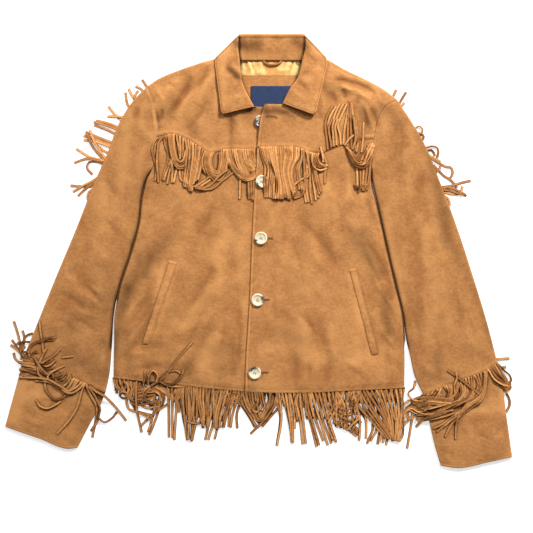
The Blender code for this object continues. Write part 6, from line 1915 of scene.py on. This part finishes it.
def fringe_tree():
    """Sweeps every spline into a flat strand with bevelled edges, each with a tone of its own."""
    if "fringe strands" in bpy.data.node_groups:
        return bpy.data.node_groups["fringe strands"]
    tree, given, add, finish = tree_of("fringe strands", [
        ("Width", "Float", 0.0045), ("Thickness", "Float", 0.0011), ("Seed", "Int", 0),
        ("Material", "Material", None)])
    upright = add("GeometryNodeSetCurveNormal", {"mode": "Z_UP"}, {"Curve": given["Geometry"]})
    index = add("GeometryNodeInputIndex")
    tone = add("FunctionNodeRandomValue", {"data_type": "FLOAT"},
               {"ID": index.outputs[0], "Seed": given["Seed"]})
    toned = add("GeometryNodeStoreNamedAttribute", {"data_type": "FLOAT", "domain": "CURVE"},
                {"Geometry": upright.outputs[0], "Name": "tone", "Value": tone.outputs[1]})
    top_width = add("ShaderNodeMath", {"operation": "MULTIPLY"}, {0: given["Width"], 1: 0.68})
    strip = add("GeometryNodeCurvePrimitiveQuadrilateral", {"mode": "TRAPEZOID"},
                {"Height": given["Thickness"], "Bottom Width": top_width.outputs[0],
                 "Top Width": given["Width"], "Offset": 0.0})
    halved = add("GeometryNodeSubdivideCurve", None, {"Curve": strip.outputs[0], "Cuts": 1})
    place = add("ShaderNodeSeparateXYZ", None, {0: add("GeometryNodeInputPosition").outputs[0]})
    across = add("ShaderNodeMath", {"operation": "ABSOLUTE"}, {0: place.outputs[0]})
    out = add("ShaderNodeMath", {"operation": "DIVIDE"}, {0: across.outputs[0], 1: given["Width"]})
    edged = add("GeometryNodeStoreNamedAttribute", {"data_type": "FLOAT", "domain": "POINT"},
                {"Geometry": halved.outputs[0], "Name": "edge", "Value": out.outputs[0]})
    swept = add("GeometryNodeCurveToMesh", None, {"Curve": toned.outputs[0],
                                                  "Profile Curve": edged.outputs[0], "Fill Caps": True})
    crisp = add("GeometryNodeSetShadeSmooth", None, {"Geometry": swept.outputs[0], "Shade Smooth": False})
    finish(crisp.outputs[0])
    return tree


def stitch_tree():
    """Stitches one after another along every spline."""
    if "stitches" in bpy.data.node_groups:
        return bpy.data.node_groups["stitches"]
    tree, given, add, finish = tree_of("stitches", [
        ("Pitch", "Float", 0.0034), ("Along", "Float", 0.0026), ("Across", "Float", 0.0007),
        ("Height", "Float", 0.0006), ("Material", "Material", None)])
    upright = add("GeometryNodeSetCurveNormal", {"mode": "Z_UP"}, {"Curve": given["Geometry"]})
    points = add("GeometryNodeCurveToPoints", {"mode": "LENGTH"},
                 {"Curve": upright.outputs[0], "Length": given["Pitch"]})
    stitch = add("GeometryNodeMeshUVSphere", None, {"Segments": 6, "Rings": 4, "Radius": 0.5})
    size = add("ShaderNodeCombineXYZ", None, {"X": given["Across"], "Y": given["Height"],
                                              "Z": given["Along"]})
    laid = add("GeometryNodeInstanceOnPoints", None, {
        "Points": points.outputs["Points"], "Instance": stitch.outputs[0],
        "Rotation": points.outputs["Rotation"], "Scale": size.outputs[0]})
    finish(laid.outputs[0])
    return tree


def made_from_lines(name, lines, tree, values):
    """A plain mesh that a tree makes from lines: points in millimetres, tilts and widths."""
    curve = bpy.data.curves.new(name, "CURVE")
    curve.dimensions = "3D"
    for points, tilts, width in lines:
        spline = curve.splines.new("POLY")
        spline.points.add(len(points) - 1)
        for point, (x, y, z), tilt in zip(spline.points, points, tilts):
            point.co = (x * MM, y * MM, z * MM, 1.0)
            point.tilt, point.radius = tilt, width
    thing = bpy.data.objects.new(name, curve)
    bpy.context.scene.collection.objects.link(thing)
    modifier = thing.modifiers.new(name, "NODES")
    modifier.node_group = tree
    sockets = {item.name: item.identifier for item in tree.interface.items_tree
               if item.in_out == "INPUT"}
    for label, value in values.items():
        modifier[sockets[label]] = value
    return settled(thing, name)


def lay_fringe(name, node, bunches, heap, under, material, seed, slim=1.0, ease=1.0):
    """Lays the strands of all bunches one on another and makes them one piece. under gives the
    height of what a root lies on where the cloth above hides it."""
    fringe = bpy.context.scene.jacket_fringe
    chance = random.Random(fringe.seed * 100 + seed)
    lines = []
    for bunch in bunches:
        for line, width, twist in strands_of(bunch, chance, ease):
            share = np.linspace(0, 1, len(line))
            rest = math.radians(chance.uniform(-13, 13))
            arch = np.sin(np.pi * np.clip(share * 1.1, 0, 1)) ** 0.6
            turn = math.radians(twist) * chance.choice((-1, 1)) * arch
            tilts = rest * np.sin(np.pi * share) + turn
            held = 1
            if under is not None:
                hidden = [under(x, y) is not None for x, y in line[:8]]
                held = hidden.index(False) if False in hidden else 8
                held = 0 if held > 4 else held
            start = [under(x, y) for x, y in line[:held]] if held and under is not None else None
            if start is None:
                held = 0
            width *= slim
            z = heap.lay(line, fringe.width / 2 * width, fringe.thickness, tilts, start, held)
            half = fringe.thickness * width / 2
            lines.append((np.column_stack([line, z + half]), tilts, width))
    piece = made_from_lines(name, lines, fringe_tree(), {
        "Width": fringe.width * MM, "Thickness": fringe.thickness * MM, "Seed": seed,
        "Material": material})
    for vert in piece.data.vertices:
        vert.co.z = max(vert.co.z, 0.05 * MM)
    stands_for(piece, [node] if node else [])
    return piece


ROOT_LIFT = 0.15           # from the cloth below to the underside of a strand's hidden root


def hidden_by(cover_names, below_names):
    """Height for a root where the first cloth covers the cloth below, else None."""
    cover, below_cloth = Ground(cover_names), Ground(below_names)

    def height(x, y):
        if cover.height(x, y) <= 0:
            return None
        return below_cloth.height(x, y) + ROOT_LIFT
    return height


class JACKET_OT_yoke_fringes(bpy.types.Operator):
    """Fringe from the yoke seams, with its loops and the strands flipped up over the yoke"""
    bl_idname = "jacket.yoke_fringes"
    bl_label = "Yoke fringes"

    def execute(self, context):
        names = UPPER_CLOTH + SLEEVE_CLOTH + ("button_2_horn",)
        for side, bunches in (("right", YOKE_RIGHT_BUNCHES), ("left", YOKE_LEFT_BUNCHES)):
            heap = Heap(names)
            under = hidden_by([f"yoke_{side}_cloth"], [f"front_{side}_cloth"])
            suede = finish_of("strands_light" if side == "right" else "strands_yoke_left")
            piece = lay_fringe(f"yoke_fringe_{side}_strands", "yoke_fringe_" + side, bunches, heap,
                               under, suede, 1 if side == "right" else 2, 0.84, 0.6)
            # painted shade on the strands and, as their shadows, on the cloth around them
            heap.darken(piece, share=0.9 if side == "right" else 0.6)
            for cloth in (f"front_{side}_cloth", f"yoke_{side}_cloth"):
                heap.darken(bpy.data.objects[cloth], share=0.65)
        return {"FINISHED"}


HEM_ROOT = 1.8            # from the top of a hem down to the underside of a strand's root


def short_row(line, pitch, shortest, longest, seed):
    """Short strands side by side along a line, as bunches of one."""
    chance = random.Random(seed)
    for x, y in evenly(curve_through(line), pitch):
        column, row = x / SQUARE + GRID_CENTRE[0], GRID_CENTRE[1] - y / SQUARE
        length = chance.uniform(shortest, longest)
        drift = chance.uniform(-3, 3)
        bow = chance.uniform(-1.2, 1.2)
        yield (1, [(column, row - 1.0), (column + drift * 0.4 + bow, row + length * 0.5),
                   (column + drift, row + length)], None, chance.uniform(0.7, 1.0), chance.uniform(0, 25))


class JACKET_OT_hem_fringes(bpy.types.Operator):
    """Fringe from the hem, back row first"""
    bl_idname = "jacket.hem_fringes"
    bl_label = "Hem fringes"

    def execute(self, context):
        back, fronts = Ground(["back_cloth"]), Ground(["front_right_cloth", "front_left_cloth"])

        def in_hem(x, y):
            """The strands of the fronts grow out of the thickness of their hems."""
            if back.height(x, y) <= 0:
                return None
            return max(fronts.height(x, y), fronts.height(x, y + 2.0), HEM_ROOT + 0.3) - HEM_ROOT
        flat = Heap(UPPER_CLOTH)
        # a row of short strands behind, in the darkest strand tone, paints the shade between the front
        # strands' roots
        row = list(short_row(HEM_RIGHT[:-1] + HEM_LEFT, 4.0, 8.0, 17.0, 17))
        pieces = [lay_fringe("hem_fringe_back_strands", "hem_fringe_back", HEM_BACK_BUNCHES + row, flat,
                             lambda x, y: 0.3 if back.height(x, y) > 0 else None,
                             finish_of("strands_back"), 3)]
        for side, bunches in (("right", HEM_RIGHT_BUNCHES), ("left", HEM_LEFT_BUNCHES)):
            pieces.append(lay_fringe(f"hem_fringe_{side}_strands", "hem_fringe_" + side, bunches, flat,
                                     in_hem, finish_of("strands_hem_" + side), 4 if side == "right" else 5))
        # painted shade on the strands and, as their shadows, on the right front
        for piece in pieces + [bpy.data.objects["front_right_cloth"]]:
            flat.darken(piece)
        return {"FINISHED"}


class JACKET_OT_cuff_fringes(bpy.types.Operator):
    """Fringe from the seams above the cuffs"""
    bl_idname = "jacket.cuff_fringes"
    bl_label = "Cuff fringes"

    def execute(self, context):
        for side, bunches in (("right", CUFF_RIGHT_BUNCHES), ("left", CUFF_LEFT_BUNCHES)):
            names = ["front_left_cloth", "sleeve_top_" + side + "_cloth", "cuff_top_" + side + "_cloth"]
            heap = Heap(names + ([f"hem_fringe_{side}_strands"] if side == "left" else []))
            under = hidden_by([f"sleeve_top_{side}_cloth"], [f"cuff_top_{side}_cloth"])
            piece = lay_fringe(f"cuff_fringe_{side}_strands", "cuff_fringe_" + side, bunches, heap,
                               under, finish_of("strands_dark" if side == "right" else "strands_cuff"),
                               6 if side == "right" else 7)
            # painted shade on the strands and, as their shadows, on the sleeve and cuff around them
            heap.darken(piece)
            for cloth in (f"sleeve_top_{side}_cloth", f"cuff_top_{side}_cloth"):
                heap.darken(bpy.data.objects[cloth], share=0.8 if side == "right" else 0.6)
        return {"FINISHED"}


class JACKET_OT_arm_fringes(bpy.types.Operator):
    """Fringe from the seam on the back of each arm, seen past the outer fold"""
    bl_idname = "jacket.arm_fringes"
    bl_label = "Arm fringes"

    def execute(self, context):
        for side, bunches in (("right", ARM_RIGHT_BUNCHES), ("left", ARM_LEFT_BUNCHES)):
            cover = Ground([f"sleeve_top_{side}_cloth"])
            heap = Heap([f"sleeve_under_{side}_cloth"])
            lay_fringe(f"sleeve_fringe_{side}_strands", "sleeve_fringe_" + side, bunches, heap,
                       lambda x, y: 0.5 if cover.height(x, y) > 0 else None,
                       finish_of("strands_arm_" + side), 8 if side == "right" else 9)
        return {"FINISHED"}


# ------------------------------------------------------------------ sewing


ROW_STEP = 1.5             # between the points of a row of stitching


def inset(line, distance):
    """A line at a distance to the left of another."""
    line = evenly(line, ROW_STEP)
    ahead = np.gradient(line, axis=0)
    side = np.stack([-ahead[:, 1], ahead[:, 0]], axis=1) / np.linalg.norm(ahead, axis=1)[:, None]
    return line + side * distance


def on_ground(line, ground, lift):
    """Points of a line on the cloth, without those that miss it."""
    heights = np.array([ground.height(x, y) for x, y in line])
    kept = heights > 0.5
    return np.column_stack([line, heights + lift])[kept]


class JACKET_OT_stitching(bpy.types.Operator):
    """Topstitching of the collar, front edge, seams, hem, cuffs and pockets, and the buttonholes"""
    bl_idname = "jacket.stitching"
    bl_label = "Stitching"

    def execute(self, context):
        sewing = context.scene.jacket_sewing
        lift = sewing.thread / MM * 0.10
        cloth = Ground(UPPER_CLOTH + SLEEVE_CLOTH)
        rows = []
        placket = np.vstack([curve_through(PLACKET), curve_through(PLACKET_YOKE)[1:]])
        rows.append((inset(placket, -PLACKET_STITCH), cloth))
        for line, distance in ((YOKE_RIGHT, SEAM_STITCH), (YOKE_LEFT, SEAM_STITCH),
                               (HEM_RIGHT, HEM_STITCH), (HEM_LEFT, HEM_STITCH),
                               (CUFF_END_RIGHT, HEM_STITCH), (CUFF_END_LEFT, HEM_STITCH),
                               (CUFF_SEAM_RIGHT, SEAM_STITCH), (CUFF_SEAM_LEFT, SEAM_STITCH)):
            rows.append((inset(curve_through(line), distance), cloth))
        for side, outer, roll, way in (("right", LEAF_OUTER_RIGHT, LEAF_ROLL_RIGHT, -1),
                                       ("left", LEAF_OUTER_LEFT, LEAF_ROLL_LEFT, 1)):
            leaf = Ground([f"collar_leaf_{side}_cloth"])
            bulge = (outer[0][0] / 2 + outer[1][0] / 2 + 0.9 * way,
                     outer[0][1] / 2 + outer[1][1] / 2 - 0.9)
            corner = curve_through([outer[0], bulge, outer[1]], 6)
            rows.append((inset(np.array([roll[0], outer[0]], float), LEAF_STITCH * way)[2:-1], leaf))
            rows.append((inset(corner, LEAF_STITCH * way), leaf))
            for first, skipped in ((1, 1), (2, 0), (3, 0)):
                line = inset(curve_through(outer[first:first + 2]), LEAF_STITCH * way)
                rows.append((line[skipped:], leaf))
        for side, corners in (("right", WELT_RIGHT), ("left", WELT_LEFT)):
            welt = Ground([f"pocket_welt_{side}_cloth"])
            top_outer, top_inner, low_outer, low_inner = [np.array(c, float) for c in corners]
            middle = (top_outer + top_inner + low_outer + low_inner) / 4
            ring = [top_outer, low_outer, low_inner, top_inner, top_outer]
            inner = [p + (middle - p) * np.array([0.0, 0.035]) for p in ring]
            for a, b in zip(inner, inner[1:]):
                line = evenly(np.array([a, b]), ROW_STEP)
                toward = middle - line.mean(axis=0)
                way = 1 if (b - a)[0] * toward[1] - (b - a)[1] * toward[0] > 0 else -1
                rows.append((inset(line, 1.8 * way)[1:-1], welt))
        lines = []
        for line, ground in rows:
            points = on_ground(line, ground, lift)
            if len(points) > 2:
                lines.append((points, np.zeros(len(points)), 1.0))
        sizes = {"Pitch": sewing.pitch, "Along": sewing.length, "Across": sewing.thread,
                 "Height": sewing.thread * 0.8, "Material": finish_of("thread_tan")}
        stands_for(made_from_lines("topstitching", lines, stitch_tree(), sizes), [])

        lines = []
        for x0, y0, x1, y1 in BUTTONHOLES:
            run = np.array([x1 - x0, y1 - y0], float)
            side = np.array([-run[1], run[0]]) / np.linalg.norm(run)
            t = np.linspace(0, 1, 14)[:, None]
            for offset in (-0.95, 0.95):
                line = np.array([x0, y0]) + run * t + side * offset
                if y0 > 200:
                    line = line + side * (1.3 * np.sin(np.pi * t))
                points = on_ground(line, cloth, 0.10)
                lines.append((points, np.zeros(len(points)), 1.0))
        sizes = {"Pitch": 0.00062, "Along": 0.00055, "Across": 0.0021, "Height": 0.0009,
                 "Material": finish_of("thread_brown")}
        stands_for(made_from_lines("buttonhole_stitches", lines, stitch_tree(), sizes), [])
        return {"FINISHED"}


# ------------------------------------------------------------------ stage


class JACKET_OT_stage(bpy.types.Operator):
    """Pale floor, soft lights and the camera"""
    bl_idname = "jacket.stage"
    bl_label = "Stage"

    def light(self, name, power, size, where):
        """A lamp that looks at the origin."""
        lamp = bpy.data.lights.new(name, "AREA")
        lamp.shape, lamp.size, lamp.size_y, lamp.energy = "RECTANGLE", size[0], size[1], power
        thing = bpy.data.objects.new(name, lamp)
        thing.location = where
        thing.rotation_euler = (-Vector(where)).to_track_quat("-Z", "Y").to_euler()
        bpy.context.scene.collection.objects.link(thing)

    def execute(self, context):
        scene, settings = context.scene, context.scene.jacket_stage
        bm = bmesh.new()
        bmesh.ops.create_grid(bm, x_segments=8, y_segments=8, size=3.0)
        mesh = bpy.data.meshes.new("floor")
        bm.to_mesh(mesh)
        bm.free()
        paper = Finish("floor_paper", 0.9, Specular_IOR_Level=0.1)
        paper.set("Base Color", paper.mix(paper.speckle(3.0), (0.94, 0.945, 0.95, 1),
                                          (0.95, 0.95, 0.95, 1)))
        paper.set("Emission Color", (1.0, 1.0, 1.0, 1.0))
        paper.set("Emission Strength", 0.55)
        floor = place("floor", mesh, paper.material)
        self.light("key", settings.key_power, (0.8, 0.5), (1.58, 2.75, 1.95))
        self.light("fill", settings.fill_power, (1.4, 0.7), (-2.60, 3.30, 2.60))
        world = bpy.data.worlds.new("room")
        world.use_nodes = True
        world.node_tree.nodes["Background"].inputs["Color"].default_value = (1, 1, 1, 1)
        world.node_tree.nodes["Background"].inputs["Strength"].default_value = settings.sky
        scene.world = world
        scene.view_settings.view_transform = "Standard"

        camera = bpy.data.cameras.new("camera")
        camera.sensor_width = 36.0
        camera.lens = 36.0 * settings.camera_height / settings.view_width
        camera.clip_start, camera.clip_end = 0.05, 20.0
        view = bpy.data.objects.new("camera", camera)
        view.location = (13.65 * MM, -29.1 * MM, settings.camera_height)
        scene.collection.objects.link(view)
        scene.camera = view
        return {"FINISHED"}


class JACKET_PT_panel(bpy.types.Panel):
    """The jacket's settings and the steps that make it"""
    bl_label = "Fringed jacket"
    bl_space_type = "VIEW_3D"
    bl_region_type = "UI"
    bl_category = "Jacket"

    def draw(self, context):
        for group in SETTINGS:
            box = self.layout.box()
            settings = getattr(context.scene, group)
            for key in settings.bl_rna.properties.keys():
                if key not in ("rna_type", "name"):
                    box.prop(settings, key)
        for step in STEPS:
            self.layout.operator(step.bl_idname)


SETTINGS = {"jacket_cloth": JacketClothSettings, "jacket_fringe": JacketFringeSettings,
            "jacket_sewing": JacketSewingSettings, "jacket_stage": JacketStageSettings}
STEPS = (JACKET_OT_torso, JACKET_OT_sleeves, JACKET_OT_collar, JACKET_OT_neck, JACKET_OT_pockets,
         JACKET_OT_buttons, JACKET_OT_yoke_fringes, JACKET_OT_hem_fringes, JACKET_OT_cuff_fringes,
         JACKET_OT_arm_fringes, JACKET_OT_stitching, JACKET_OT_stage)


def register():
    for name, group in SETTINGS.items():
        bpy.utils.register_class(group)
        setattr(bpy.types.Scene, name, PointerProperty(type=group))
    for step in STEPS + (JACKET_PT_panel,):
        bpy.utils.register_class(step)


def unregister():
    for step in (JACKET_PT_panel,) + STEPS[::-1]:
        bpy.utils.unregister_class(step)
    for name, group in SETTINGS.items():
        delattr(bpy.types.Scene, name)
        bpy.utils.unregister_class(group)


def main():
    register()
    for step in STEPS:
        family, action = step.bl_idname.split(".")
        getattr(getattr(bpy.ops, family), action)()


if __name__ == "__main__":
    main()
